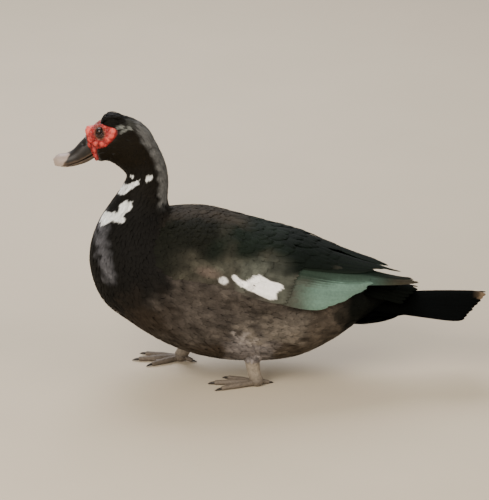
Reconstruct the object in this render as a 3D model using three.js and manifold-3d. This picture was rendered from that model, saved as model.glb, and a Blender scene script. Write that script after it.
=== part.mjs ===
// A muscovy duck drake, life size, standing in mid stride with its head drawn up. Millimetres, +Z up.
// The bill points to -X and the tail to +X, so the bird's left side faces -Y.
import * as THREE from "three";
import { mergeVertices } from "three/addons/utils/BufferGeometryUtils.js";
import Module from "manifold-3d";

const wasm = await Module();
wasm.setup();

const V = (x, y, z) => new THREE.Vector3(x, y, z);
const DEG = Math.PI / 180;

// Driving dimensions
const GAP = 0.3; // between touching meshes
const AROUND = 22; // sides of a section of the body
const RINGS = 54; // sections of the body from rump to bill
const VANE = 0.7; // thickness of a feather
const STEP = VANE + 0.4; // from one feather's face to the same face of the next

// Stations of the body, from rump to bill: a point on the back line (x, z), one on the belly line (x, z), half width
const BODY_STATIONS = {
  rumpEnd: [222, 131, 219, 112, 14],
  tailRoot: [184, 157, 178, 88, 45],
  vent: [146, 180, 138, 60, 66],
  hip: [94, 205, 84, 35, 84],
  saddle: [30, 231, 20, 28, 93],
  belly: [-30, 250, -48, 34, 96],
  shoulder: [-72, 254, -108, 54, 94],
  wishbone: [-95, 256, -166, 90, 89],
  keel: [-103, 260, -208, 125, 79],
  breast: [-107, 270, -226, 182, 64],
  crop: [-108, 284, -216, 232, 48],
  neckRoot: [-107, 302, -192, 273, 36],
  midNeck: [-109, 325, -175, 299, 30],
  throat: [-118, 352, -170, 317, 28],
  nape: [-138, 385, -184, 333, 28],
  crown: [-170, 403, -199, 341, 27],
  brow: [-203, 401, -208, 340, 25],
  forehead: [-222, 388, -213, 341, 20.5],
  billRoot: [-231, 378, -216, 345, 15],
};

// Stations of the upper mandible, from root to tip: culmen, mouth line, half width
const UPPER_STATIONS = {
  root: [-230.6, 376, -219.6, 352.2, 14.2],
  nostril: [-240, 366, -228.5, 347, 13.8],
  saddle: [-250, 355, -240, 341.2, 13],
  spoon: [-261, 348, -252, 337, 12.8],
  lip: [-269, 345, -262, 334.8, 12.8],
  front: [-275, 342, -271.5, 333.8, 9.6],
  tip: [-278.5, 338.5, -278, 334, 4],
};

// Stations of the lower mandible: mouth line, chin line, half width
const LOWER_STATIONS = {
  root: [-219, 351, -216.4, 345.2, 12.4],
  jaw: [-228.3, 346.2, -226, 338.6, 12],
  middle: [-240, 340.4, -239, 333.6, 11.2],
  spoon: [-252, 336.2, -252, 330.6, 10.8],
  lip: [-262, 334, -262.5, 329.8, 10.4],
  tip: [-271, 333, -271, 331, 5],
};

// Stations of the folded wings' outer shell, by x: height of its top, height of its widest line, half width
const SHELL_STATIONS = [
  [-160, 250, 165, 86],
  [-110, 260, 160, 96],
  [-50, 261, 152, 103],
  [20, 241, 145, 104],
  [90, 222, 139, 97],
  [145, 198, 138, 78],
  [202, 176, 142, 50],
  [240, 163, 145, 36],
  [275, 157, 147, 26],
  [310, 153, 148, 18],
];

// Eye: its share of the way from brow to forehead, angle from the crown, radius, depth of its centre
const EYE = { share: 0.32, angle: 44 * DEG, radius: 6.4, sunk: 3.2, front: 12, back: 115 };

// Outline of the red mask in the side view, in mm in front of and above the eye
const MASK_OUTLINE = [
  [26, -2], [23, 8], [15, 12], [3, 13], [-21, 8], [-25, -2], [-20, -9], [-12, -16],
  [-4, -26], [6, -27], [6, -34], [17, -32], [21, -21], [22, -14], [20, -7],
];
const BULB = { spacing: 11, radius: 8.7, spread: 0.1, flat: 0.62, raised: 1.2, clear: 11.5 };
const KNOB = { centre: [-228, 0, 383.5], radii: [7.5, 10, 8.5] };
const LID = { ring: 7.6, thickness: 2 };

// Outlines of a feather: share of its length, share of its full half width
const LONG_VANE = [[0, 0.5], [0.3, 0.88], [0.62, 1], [0.86, 0.84], [0.96, 0.55], [1, 0.2]];
const SHORT_VANE = [[0, 0.6], [0.4, 0.95], [0.74, 1], [0.93, 0.66], [1, 0.22]];
const CREST_VANE = [[0, 0.8], [0.6, 1], [0.9, 0.6], [1, 0.2]];

// Tiers of a folded wing, each from its lowest feather to its highest: root and tip as x and angle on the shell,
// and half width; lift is off the shell at root and tip
const WING_TIERS = {
  primaries: { count: 5, lift: [-10.5, -4.5], lowest: [20, 68, 268, 46, 9], highest: [50, 48, 200, 19, 9] },
  secondaries: { count: 6, lift: [-6.5, -1], lowest: [-20, 71, 116, 86, 9], highest: [30, 55, 187, 55, 9] },
  tertials: { count: 4, lift: [-5, 3.4], lowest: [25, 52, 198, 49, 12], highest: [10, 27, 226, 24, 12] },
  greaterCoverts: { count: 6, lift: [-5, 1.2], lowest: [-70, 68, 42, 80, 11], highest: [-25, 43, 90, 46, 11] },
  medianCoverts: { count: 5, lift: [-4.4, 3.6], lowest: [-95, 66, -12, 73, 12], highest: [-65, 42, 45, 42, 12] },
  lesserCoverts: { count: 4, lift: [-3.8, 5], lowest: [-116, 64, -64, 69, 12], highest: [-100, 42, -14, 40, 13] },
  scapulars: { count: 3, lift: [-3.8, 5], lowest: [-60, 36, 100, 36, 13], highest: [-50, 18, 134, 19, 13] },
  shortScapulars: { count: 3, lift: [-3.6, 7], lowest: [-100, 36, 0, 38, 13], highest: [-90, 18, 14, 19, 13] },
};
const WING_PAD = { front: -132, end: 90, low: 76, high: 17, outer: -2.2, inner: -20 };

// Tail: rows of feathers from the middle out, with the root and tip of the middle one as x, y, z, how much
// further out each next one starts and ends and how much shorter it is, and the slope and step from one down
const TAIL = {
  rectrices: {
    count: 7, half: 15, root: [190, 5, 125], tip: [369, 8, 130], spread: [2.2, 7.4], back: 5.6,
    slope: 0.3, step: STEP, rise: 3, outline: LONG_VANE,
  },
  upperCoverts: {
    count: 3, half: 12, root: [188, 7, 151], tip: [266, 9, 139], spread: [7, 11], back: 9,
    slope: 0.25, step: STEP, rise: 2, outline: SHORT_VANE,
  },
  underCoverts: {
    count: 3, half: 12, root: [187, 7, 98], tip: [262, 9, 98], spread: [6, 11], back: 8,
    slope: -0.12, step: -STEP, rise: -3, outline: SHORT_VANE,
  },
};
const MIDLINE = 0.4; // how near the middle plane a feather of one side may come

// Crest: rows of feathers from the brow back to the nape, with the height of their tips and their length
const CREST = { rows: 5, from: 0.8, to: 0.34, height: [13, 2.5], length: [17, 32], half: 4, across: 3, apart: 19 };

// Legs: the foot's place, how far forward and out from there the hock and the thigh's root lie, the foot's turn
const LEGS = {
  left: { side: -1, heel: [25, 55], hock: [17, 54, 36], thigh: [26, 50, 84], turn: 3 },
  right: { side: 1, heel: [-90, 51], hock: [-74, 50, 42], thigh: [-56, 46, 86], turn: -2 },
};
const TOES = {
  inner: { length: 50, spread: 27, radius: 4.1 },
  middle: { length: 64, spread: 0, radius: 4.6 },
  outer: { length: 58, spread: -25, radius: 4.1 },
};
const TOE_HEIGHT = [5.6, 3.1];
const HALLUX = { length: 20, spread: 24, radius: 3.6, height: 10 };
const CLAW = { length: 9, root: 0.62, tip: 0.5 };
const WEB = { thickness: 1.4, height: 3.2, reach: 0.95, hollow: 0.26 };
const HEEL_PAD = { radius: 10, height: 8, rise: 6.8 };
const SHANK = { hock: 9.2, middle: 8, heel: 9, flat: 0.85, rise: 12, cut: 15.5 };
const THIGH = { root: 38, middle: 24, hock: 11.6 };

// A seeded draw between -1 and 1
function drawFrom(seed) {
  let state = seed;
  return () => {
    state = (state * 16807) % 2147483647;
    return (2 * state) / 2147483647 - 1;
  };
}

// Solids and cuts
function solid(geometry) {
  const bare = new THREE.BufferGeometry();
  bare.setAttribute("position", geometry.getAttribute("position"));
  bare.setIndex(geometry.index);
  const merged = mergeVertices(bare, 1e-4);
  return new wasm.Manifold(
    new wasm.Mesh({
      numProp: 3,
      vertProperties: new Float32Array(merged.attributes.position.array),
      triVerts: new Uint32Array(merged.index.array),
    }),
  );
}

function geometryOf(manifold) {
  const mesh = manifold.getMesh();
  const geometry = new THREE.BufferGeometry();
  geometry.setAttribute("position", new THREE.BufferAttribute(mesh.vertProperties, 3));
  geometry.setIndex(new THREE.BufferAttribute(mesh.triVerts, 1));
  geometry.computeVertexNormals();
  return geometry;
}

const join = (parts) => parts.reduce((sum, part) => sum.add(part));

function largest(manifold) {
  const bodies = manifold.decompose();
  return bodies.reduce((best, body) => (body.volume() > best.volume() ? body : best));
}

// The solid of a closed skin, whichever way its faces were wound
function facingOut(geometry) {
  const made = solid(geometry);
  if (made.volume() > 0) return made;
  const index = geometry.index.array;
  for (let i = 0; i < index.length; i += 3) [index[i + 1], index[i + 2]] = [index[i + 2], index[i + 1]];
  return solid(geometry);
}

// A closed skin over rings of points, with its two ends closed flat
function loft(rings, around, pointAt) {
  const points = [];
  const faces = [];
  for (let i = 0; i <= rings; i++) {
    for (let j = 0; j < around; j++) points.push(pointAt(i / rings, j / around));
  }
  const index = (i, j) => i * around + (j % around);
  const face = (a, b, c) => faces.push(a, b, c);
  for (let i = 0; i < rings; i++) {
    for (let j = 0; j < around; j++) {
      face(index(i, j), index(i, j + 1), index(i + 1, j));
      face(index(i, j + 1), index(i + 1, j + 1), index(i + 1, j));
    }
  }
  for (let j = 1; j < around - 1; j++) {
    face(index(0, 0), index(0, j + 1), index(0, j));
    face(index(rings, 0), index(rings, j), index(rings, j + 1));
  }
  return facingOut(new THREE.BufferGeometry().setFromPoints(points).setIndex(faces));
}

// A rounded body; with detail 0 it has the twelve faces of a dodecahedron
function ball(centre, radii, detail = 2, turn = new THREE.Quaternion()) {
  const geometry = detail ? new THREE.IcosahedronGeometry(1, detail) : new THREE.DodecahedronGeometry(1);
  geometry.deleteAttribute("normal");
  geometry.deleteAttribute("uv");
  const matrix = new THREE.Matrix4().compose(centre, turn, V(...radii));
  return solid(mergeVertices(geometry, 1e-5).applyMatrix4(matrix));
}

function block(centre, size, turn = new THREE.Quaternion()) {
  const geometry = new THREE.BoxGeometry(...size);
  geometry.deleteAttribute("normal");
  geometry.deleteAttribute("uv");
  return solid(geometry.applyMatrix4(new THREE.Matrix4().compose(centre, turn, V(1, 1, 1))));
}

// A feather: place(share, across) gives the point of its middle sheet and the arrow out of it there.
// Both faces are split along the same lines, so that a bent feather never crosses itself
function vane(place, half, outline, grow = 0) {
  const points = [];
  const faces = [];
  outline.forEach(([share, width]) => {
    for (const across of [-1, 1]) {
      const { spot, out } = place(share, across * (half * width + grow));
      const depth = VANE / 2 + grow;
      points.push(spot.clone().addScaledVector(out, depth), spot.clone().addScaledVector(out, -depth));
    }
  });
  const quad = (a, b, c, d) => faces.push(a, b, c, a, c, d);
  const last = points.length - 4;
  for (let k = 0; k < last; k += 4) {
    quad(k, k + 2, k + 6, k + 4);
    faces.push(k + 1, k + 7, k + 3, k + 1, k + 5, k + 7);
    quad(k, k + 4, k + 5, k + 1);
    quad(k + 2, k + 3, k + 7, k + 6);
  }
  quad(0, 1, 3, 2);
  quad(last, last + 2, last + 3, last + 1);
  return facingOut(new THREE.BufferGeometry().setFromPoints(points).setIndex(faces));
}

// A form between two lines in the middle plane: u runs along it, angle goes from the upper line round the left side
class Form {
  constructor(stations, { square = () => 0.9, egg = 0.08, upper = 1, lower = 1 } = {}) {
    const rows = Object.values(stations);
    this.names = Object.keys(stations);
    this.over = new THREE.CatmullRomCurve3(rows.map((r) => V(r[0], 0, r[1])));
    this.under = new THREE.CatmullRomCurve3(rows.map((r) => V(r[2], 0, r[3])));
    this.half = new THREE.CatmullRomCurve3(rows.map((r, i) => V(i * 20, r[4], 0)));
    Object.assign(this, { square, egg, upper, lower });
  }

  at(name, share = 0) {
    return (this.names.indexOf(name) + share) / (this.names.length - 1);
  }

  // The middle of a section and the arrow from there to the upper line
  section(u) {
    const over = this.over.getPoint(u);
    const under = this.under.getPoint(u);
    const centre = over.clone().lerp(under, this.upper / (this.upper + this.lower));
    return { centre, up: over.clone().sub(centre), down: centre.clone().sub(under) };
  }

  point(u, angle, grow = 0) {
    const { centre, up, down } = this.section(u);
    const [c, s] = [Math.cos(angle), Math.sin(angle)];
    const arm = c > 0 ? up : down;
    arm.setLength(arm.length() + grow);
    const power = this.square(u);
    const along = Math.sign(c) * Math.abs(c) ** power;
    const across = Math.sign(s) * Math.abs(s) ** power;
    const wide = (this.half.getPoint(u).y + grow) * across * (1 - this.egg * along);
    return centre.addScaledVector(arm, along).add(V(0, -wide, 0));
  }

  normal(u, angle) {
    const e = 1e-3;
    const du = this.point(Math.min(u + e, 1), angle).sub(this.point(u - e, angle));
    const da = this.point(u, angle + e).sub(this.point(u, angle - e));
    return da.cross(du).normalize().negate();
  }

  build(rings, around, grow = 0) {
    return loft(rings, around, (u, v) => this.point(u, v * 2 * Math.PI, grow));
  }

  // A thin block across the form at one section, to part it there
  slab(u, thickness = GAP) {
    const over = this.over.getPoint(u);
    const under = this.under.getPoint(u);
    const up = over.clone().sub(under);
    const turn = new THREE.Quaternion().setFromUnitVectors(V(0, 0, 1), up.clone().normalize());
    const size = [thickness, 3 * this.half.getPoint(u).y, up.length() + 16];
    return block(over.lerp(under, 0.5), size, turn);
  }
}

// The head is squarer in section than the body, with its sides up at the eyes
const headStarts = 14 / 18;
const body = new Form(BODY_STATIONS, {
  square: (u) => THREE.MathUtils.lerp(0.9, 0.72, THREE.MathUtils.smoothstep(u, headStarts, 0.95)),
});
const whole = body.build(RINGS, AROUND);
const grown = body.build(RINGS, AROUND, GAP);

// The folded wings' shell: x along the body, angle from the top down the left side, lift off the shell
const SHELL = {
  top: new THREE.SplineCurve(SHELL_STATIONS.map((r) => new THREE.Vector2(r[0], r[1]))),
  middle: new THREE.SplineCurve(SHELL_STATIONS.map((r) => new THREE.Vector2(r[0], r[2]))),
  half: new THREE.SplineCurve(SHELL_STATIONS.map((r) => new THREE.Vector2(r[0], r[3]))),
};

function shellRow(x) {
  const last = SHELL_STATIONS.length - 1;
  let k = 0;
  while (k < last - 1 && SHELL_STATIONS[k + 1][0] < x) k++;
  const span = SHELL_STATIONS[k + 1][0] - SHELL_STATIONS[k][0];
  const t = THREE.MathUtils.clamp((k + (x - SHELL_STATIONS[k][0]) / span) / last, 0, 1);
  return [SHELL.top.getPoint(t).y, SHELL.middle.getPoint(t).y, SHELL.half.getPoint(t).y];
}

function shellPoint(x, angle, lift = 0) {
  const [top, middle, half] = shellRow(x);
  const rise = top - middle;
  const out = V(0, -Math.sin(angle) / half, Math.cos(angle) / rise).normalize();
  return V(x, -half * Math.sin(angle), middle + rise * Math.cos(angle)).addScaledVector(out, lift);
}

// How far the shell's angle turns in one millimetre round it
function anglePerMm(x, angle) {
  const step = shellPoint(x, angle + 0.01).distanceTo(shellPoint(x, angle - 0.01));
  return 0.02 / step;
}

const mirrored = (mesh) => mesh.scale.set(1, -1, 1);
const group = new THREE.Group();

function addNode(name, manifold, colour, { roughness = 0.6, metalness = 0, mirror = false } = {}) {
  const material = new THREE.MeshStandardMaterial({ color: colour, roughness, metalness });
  const mesh = new THREE.Mesh(geometryOf(manifold), material);
  mesh.name = name;
  if (mirror) mirrored(mesh);
  group.add(mesh);
}

// Torso, neck, head and tail base: one form, parted by thin cuts
const neckCut = body.at("crop", 0.75);
const headCut = body.at("throat", 0.8);
const tailCut = body.at("tailRoot", -0.1);
const pieces = whole
  .subtract(body.slab(neckCut))
  .subtract(body.slab(headCut))
  .subtract(body.slab(tailCut))
  .decompose();
const middleOf = (piece) => {
  const box = piece.boundingBox();
  return V(...box.min).add(V(...box.max)).multiplyScalar(0.5);
};
const torso = largest(join(pieces));
const others = pieces.filter((piece) => piece.volume() < torso.volume() - 1);
const byHeight = others.sort((a, b) => middleOf(b).z - middleOf(a).z);
const [skull, neck, rump] = byHeight;

// Eyes, each in a socket of the head
const flip = (v) => V(v.x, -v.y, v.z);
const sided = (v, side) => (side > 0 ? v.clone() : flip(v));
const bothSides = [1, -1];
const eyeU = body.at("brow", EYE.share);
const eyeSpot = body.point(eyeU, EYE.angle);
const eyeOut = body.normal(eyeU, EYE.angle);
const eyeCentre = eyeSpot.clone().addScaledVector(eyeOut, -EYE.sunk);

// The ball is cut off flat behind, well inside the head
function eyeBall(side, grow = 0) {
  const r = EYE.radius + grow;
  const out = sided(eyeOut, side);
  const across = V(0, 0, 1).cross(out).normalize();
  const up = out.clone().cross(across);
  return loft(5, 12, (u, v) => {
    const turn = THREE.MathUtils.lerp(EYE.front, EYE.back, u) * DEG;
    const spot = sided(eyeCentre, side).addScaledVector(out, r * Math.cos(turn));
    spot.addScaledVector(across, r * Math.sin(turn) * Math.cos(v * 2 * Math.PI));
    return spot.addScaledVector(up, r * Math.sin(turn) * Math.sin(v * 2 * Math.PI));
  });
}
const eyeHoles = join(bothSides.map((side) => eyeBall(side, GAP)));

// Bill
const mandible = { square: () => 0.85, egg: 0 };
const upperForm = new Form(UPPER_STATIONS, { ...mandible, upper: 9, lower: 1 });
const lowerForm = new Form(LOWER_STATIONS, { ...mandible, upper: 1, lower: 5 });
const buildUpper = (grow = 0) => upperForm.build(15, 12, grow);
const buildLower = (grow = 0) => lowerForm.build(10, 10, grow);
const nostrilSpot = upperForm.point(upperForm.at("nostril", -0.3), 45 * DEG);
const nostrils = join(bothSides.map((side) => ball(sided(nostrilSpot, side), [4, 2.2, 2], 1)));
const nailTurn = new THREE.Quaternion().setFromAxisAngle(V(0, 1, 0), -26 * DEG);
const nailForm = ball(V(-273, 0, 341), [7.2, 6.8, 4], 1, nailTurn);

// Caruncles: bulbs of bare skin over the mask, a ring of them at each lid, and a knob over the bill's root
function maskHolds(forward, up) {
  let inside = false;
  MASK_OUTLINE.forEach(([f1, u1], i) => {
    const [f2, u2] = MASK_OUTLINE[(i + 1) % MASK_OUTLINE.length];
    const crosses = u1 > up !== u2 > up;
    if (crosses && forward < f1 + ((up - u1) / (u2 - u1)) * (f2 - f1)) inside = !inside;
  });
  return inside;
}

// The skin of the left side of the face as a field of points, and the one nearest to a place in the side view
const face = [];
for (let u = body.at("nape", 0.6); u <= 1; u += 0.002) {
  for (let angle = 4; angle <= 150; angle += 2) {
    face.push({ spot: body.point(u, angle * DEG), out: body.normal(u, angle * DEG) });
  }
}
function facePlace(forward, up) {
  const [x, z] = [eyeSpot.x - forward, eyeSpot.z + up];
  const far = ({ spot }) => (spot.x - x) ** 2 + (spot.z - z) ** 2;
  return face.reduce((best, place) => (far(place) < far(best) ? place : best));
}

function buildMask() {
  const draw = drawFrom(5);
  const parts = [];
  const bulb = ({ spot, out }, size) => {
    const r = size * (1 + BULB.spread * draw());
    const centre = spot.clone().addScaledVector(out, BULB.raised);
    bothSides.forEach((side) => {
      const turn = new THREE.Quaternion().setFromUnitVectors(V(0, 0, 1), sided(out, side));
      parts.push(ball(sided(centre, side), [r, r, r * BULB.flat], 0, turn));
    });
  };
  const step = BULB.spacing;
  for (let row = -6; row <= 4; row++) {
    for (let k = -5; k <= 5; k++) {
      const forward = (k + 0.5 * (row & 1)) * step + draw();
      const up = row * step * 0.85 + draw();
      if (!maskHolds(forward, up) || Math.hypot(forward, up) < BULB.clear) continue;
      bulb(facePlace(forward, up), BULB.radius);
    }
  }
  parts.push(ball(V(...KNOB.centre), KNOB.radii, 1));
  bothSides.forEach((side) => {
    const ring = new THREE.TorusGeometry(LID.ring, LID.thickness, 4, 12);
    ring.deleteAttribute("normal");
    ring.deleteAttribute("uv");
    const turn = new THREE.Quaternion().setFromUnitVectors(V(0, 0, 1), sided(eyeOut, side));
    const place = sided(eyeSpot, side).addScaledVector(sided(eyeOut, side), 1);
    parts.push(solid(ring.applyMatrix4(new THREE.Matrix4().compose(place, turn, V(1, 1, 1)))));
  });
  return join(parts).subtract(join([grown, buildUpper(GAP), buildLower(GAP), eyeHoles]));
}

// Crest: feathers that stand up behind the brow and lie flatter towards the nape
function buildCrest(grow) {
  const feathers = [];
  for (let row = 0; row < CREST.rows; row++) {
    const share = row / (CREST.rows - 1);
    const u = THREE.MathUtils.lerp(body.at("crown", CREST.from), body.at("nape", CREST.to), share);
    const length = THREE.MathUtils.lerp(...CREST.length, share);
    const height = THREE.MathUtils.lerp(...CREST.height, share);
    const count = CREST.across + (row & 1);
    for (let k = 0; k < count; k++) {
      const angle = (k - (count - 1) / 2) * CREST.apart * DEG;
      const perU = body.point(u, angle).distanceTo(body.point(u - 0.01, angle)) / 0.01;
      const place = (along, across) => {
        const turn = angle * (1 + 0.3 * along) + across / 30;
        const at = u - (length * along) / perU;
        const out = body.normal(at, turn);
        const lift = -4 + (height * Math.cos(angle) + 4) * along ** 0.8 + 0.25 * Math.abs(across);
        return { spot: body.point(at, turn).addScaledVector(out, lift), out };
      };
      feathers.push(vane(place, CREST.half, CREST_VANE, grow));
    }
  }
  return feathers;
}

addNode("torso", torso, "#2b2620");
addNode("neck", neck, "#1c1b1c");
addNode("head", largest(join([skull, ...buildCrest(0)]).subtract(eyeHoles)), "#1f1b19");
addNode("caruncles", largest(buildMask().subtract(join(buildCrest(GAP)))), "#c43a34", { roughness: 0.4 });
addNode("eye_left", eyeBall(1), "#2a1a10", { roughness: 0.1 });
addNode("eye_right", eyeBall(-1), "#2a1a10", { roughness: 0.1 });
addNode("bill_upper", largest(buildUpper().subtract(nostrils)), "#2b2a29", { roughness: 0.45 });
addNode("bill_lower", buildLower(), "#5a5048", { roughness: 0.45 });
addNode("bill_nail", largest(nailForm.subtract(buildUpper(GAP))), "#d9c7bd", { roughness: 0.4 });

// Wings: tiers of feathers rooted in a pad on the flank. Each feather is tilted so that its lower edge lies
// over the one below it
function wingPad() {
  const { front, end, low, high, outer, inner } = WING_PAD;
  const rows = 8;
  const arcs = 4;
  const around = 2 * arcs + 2;
  return loft(rows, around, (u, v) => {
    const k = Math.round(v * around);
    const across = (k <= arcs ? k : around - 1 - k) / arcs - 0.5;
    const swell = Math.sqrt(Math.max(0.04, 1 - (2 * u - 1) ** 4));
    const angle = (low + high) / 2 + (low - high) * swell * across;
    return shellPoint(THREE.MathUtils.lerp(front, end, u), angle * DEG, k <= arcs ? outer : inner);
  });
}

function wingTier({ count, lift, lowest, highest }, outline) {
  const lines = Array.from({ length: count }, (_, i) => {
    const [rootX, rootAngle, tipX, tipAngle, half] = lowest.map(
      (value, k) => THREE.MathUtils.lerp(value, highest[k], i / (count - 1)));
    const angleAt = (x) => THREE.MathUtils.lerp(rootAngle, tipAngle, (x - rootX) / (tipX - rootX)) * DEG;
    return { rootX, tipX, half, angleAt };
  });
  // Where a feather ends further back than the one below it, it also lies lower at the same x, and a flat feather
  // on a round flank sags at its middle
  const meanLength = lines.reduce((sum, line) => sum + line.tipX - line.rootX, 0) / count;
  const lag = (highest[0] + highest[2] - lowest[0] - lowest[2]) / (2 * (count - 1) * meanLength);
  const lower = Math.max(0, lag * (lift[1] - lift[0]));
  return lines.map(({ rootX, tipX, half, angleAt }) => {
    const place = (along, across) => {
      const x = THREE.MathUtils.lerp(rootX, tipX, along);
      const angle = angleAt(x);
      const turn = across * anglePerMm(x, angle);
      const gap = Math.min(...lines.slice(1).map((line, k) => lines[k].angleAt(x) - line.angleAt(x)));
      const sag = half ** 2 / (2 * shellRow(x)[2]);
      const height = THREE.MathUtils.lerp(...lift, along) + ((STEP + lower + sag) * turn) / gap;
      const spot = shellPoint(x, angle + turn, height);
      return { spot, out: shellPoint(x, angle + turn, height + 1).sub(spot) };
    };
    return vane(place, half, outline);
  });
}
const wingFeathers = Object.entries(WING_TIERS).flatMap(([name, tier]) => {
  const short = name.includes("Coverts") || name === "shortScapulars";
  return wingTier(tier, short ? SHORT_VANE : LONG_VANE);
});
const wing = largest(join([wingPad(), ...wingFeathers]).subtract(grown));
addNode("wing_left", wing, "#24443a", { roughness: 0.35 });
addNode("wing_right", wing, "#24443a", { roughness: 0.35, mirror: true });

// Tail: a roof of long feathers, the middle pair on top, with coverts over and under their roots
function tailRow({ count, half, root, tip, spread, back, slope, step, rise, outline }) {
  const { lerp } = THREE.MathUtils;
  const feathers = [];
  bothSides.forEach((side) => {
    for (let i = 0; i < count; i++) {
      const place = (along, across) => {
        const middle = lerp(root[1] + spread[0] * i, tip[1] + spread[1] * i, along);
        const outward = Math.max(middle + across, MIDLINE);
        const ridge = lerp(root[2], tip[2], along) + rise * Math.sin(Math.PI * along);
        const spot = V(lerp(root[0], tip[0] - back * i, along), side * outward, ridge - slope * outward - step * i);
        return { spot, out: V(0, 0, 1) };
      };
      feathers.push(vane(place, half, outline));
    }
  });
  return feathers;
}
const tailFeathers = Object.values(TAIL).flatMap(tailRow);
addNode("tail", largest(join([rump, ...tailFeathers])), "#151515", { roughness: 0.4 });

// A rod of round section along a smooth curve, its radius given at each point
function rod(points, radii, { around = 10, rings = 8, flat = 1 } = {}) {
  const line = new THREE.CatmullRomCurve3(points);
  const sizes = new THREE.SplineCurve(radii.map((r, i) => new THREE.Vector2(i, r)));
  return loft(rings, around, (u, v) => {
    const along = line.getTangent(u);
    const side = V(0, 1, 0).cross(along).normalize();
    const wide = along.clone().cross(side).normalize();
    const r = sizes.getPoint(u).y;
    const angle = v * 2 * Math.PI;
    const spot = line.getPoint(u).addScaledVector(side, r * Math.cos(angle));
    return spot.addScaledVector(wide, r * flat * Math.sin(angle));
  });
}

// A web between two toes, as thick all over and hollow along its front edge
function buildWeb(toeA, toeB) {
  const rows = 5;
  const columns = 3;
  const points = [];
  const faces = [];
  for (const lift of [WEB.thickness / 2, -WEB.thickness / 2]) {
    for (let i = 0; i <= rows; i++) {
      for (let j = 0; j <= columns; j++) {
        const across = j / columns;
        const reach = (i / rows) * (WEB.reach - WEB.hollow * Math.sin(Math.PI * across));
        const spot = toeA(Math.max(reach, 0.02)).lerp(toeB(Math.max(reach, 0.02)), across);
        points.push(spot.setZ(WEB.height + lift));
      }
    }
  }
  const layer = (rows + 1) * (columns + 1);
  const index = (level, i, j) => level * layer + i * (columns + 1) + j;
  const quad = (a, b, c, d) => faces.push(a, b, c, a, c, d);
  for (let i = 0; i < rows; i++) {
    for (let j = 0; j < columns; j++) {
      const [a, b, c, d] = [index(0, i, j), index(0, i + 1, j), index(0, i + 1, j + 1), index(0, i, j + 1)];
      quad(a, b, c, d);
      faces.push(a + layer, c + layer, b + layer, a + layer, d + layer, c + layer);
    }
    quad(index(0, i, 0), index(1, i, 0), index(1, i + 1, 0), index(0, i + 1, 0));
    quad(index(1, i, columns), index(0, i, columns), index(0, i + 1, columns), index(1, i + 1, columns));
  }
  for (let j = 0; j < columns; j++) {
    quad(index(0, 0, j), index(0, 0, j + 1), index(1, 0, j + 1), index(1, 0, j));
    quad(index(1, rows, j), index(1, rows, j + 1), index(0, rows, j + 1), index(0, rows, j));
  }
  const geometry = new THREE.BufferGeometry().setFromPoints(points).setIndex(faces);
  return facingOut(geometry);
}

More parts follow.
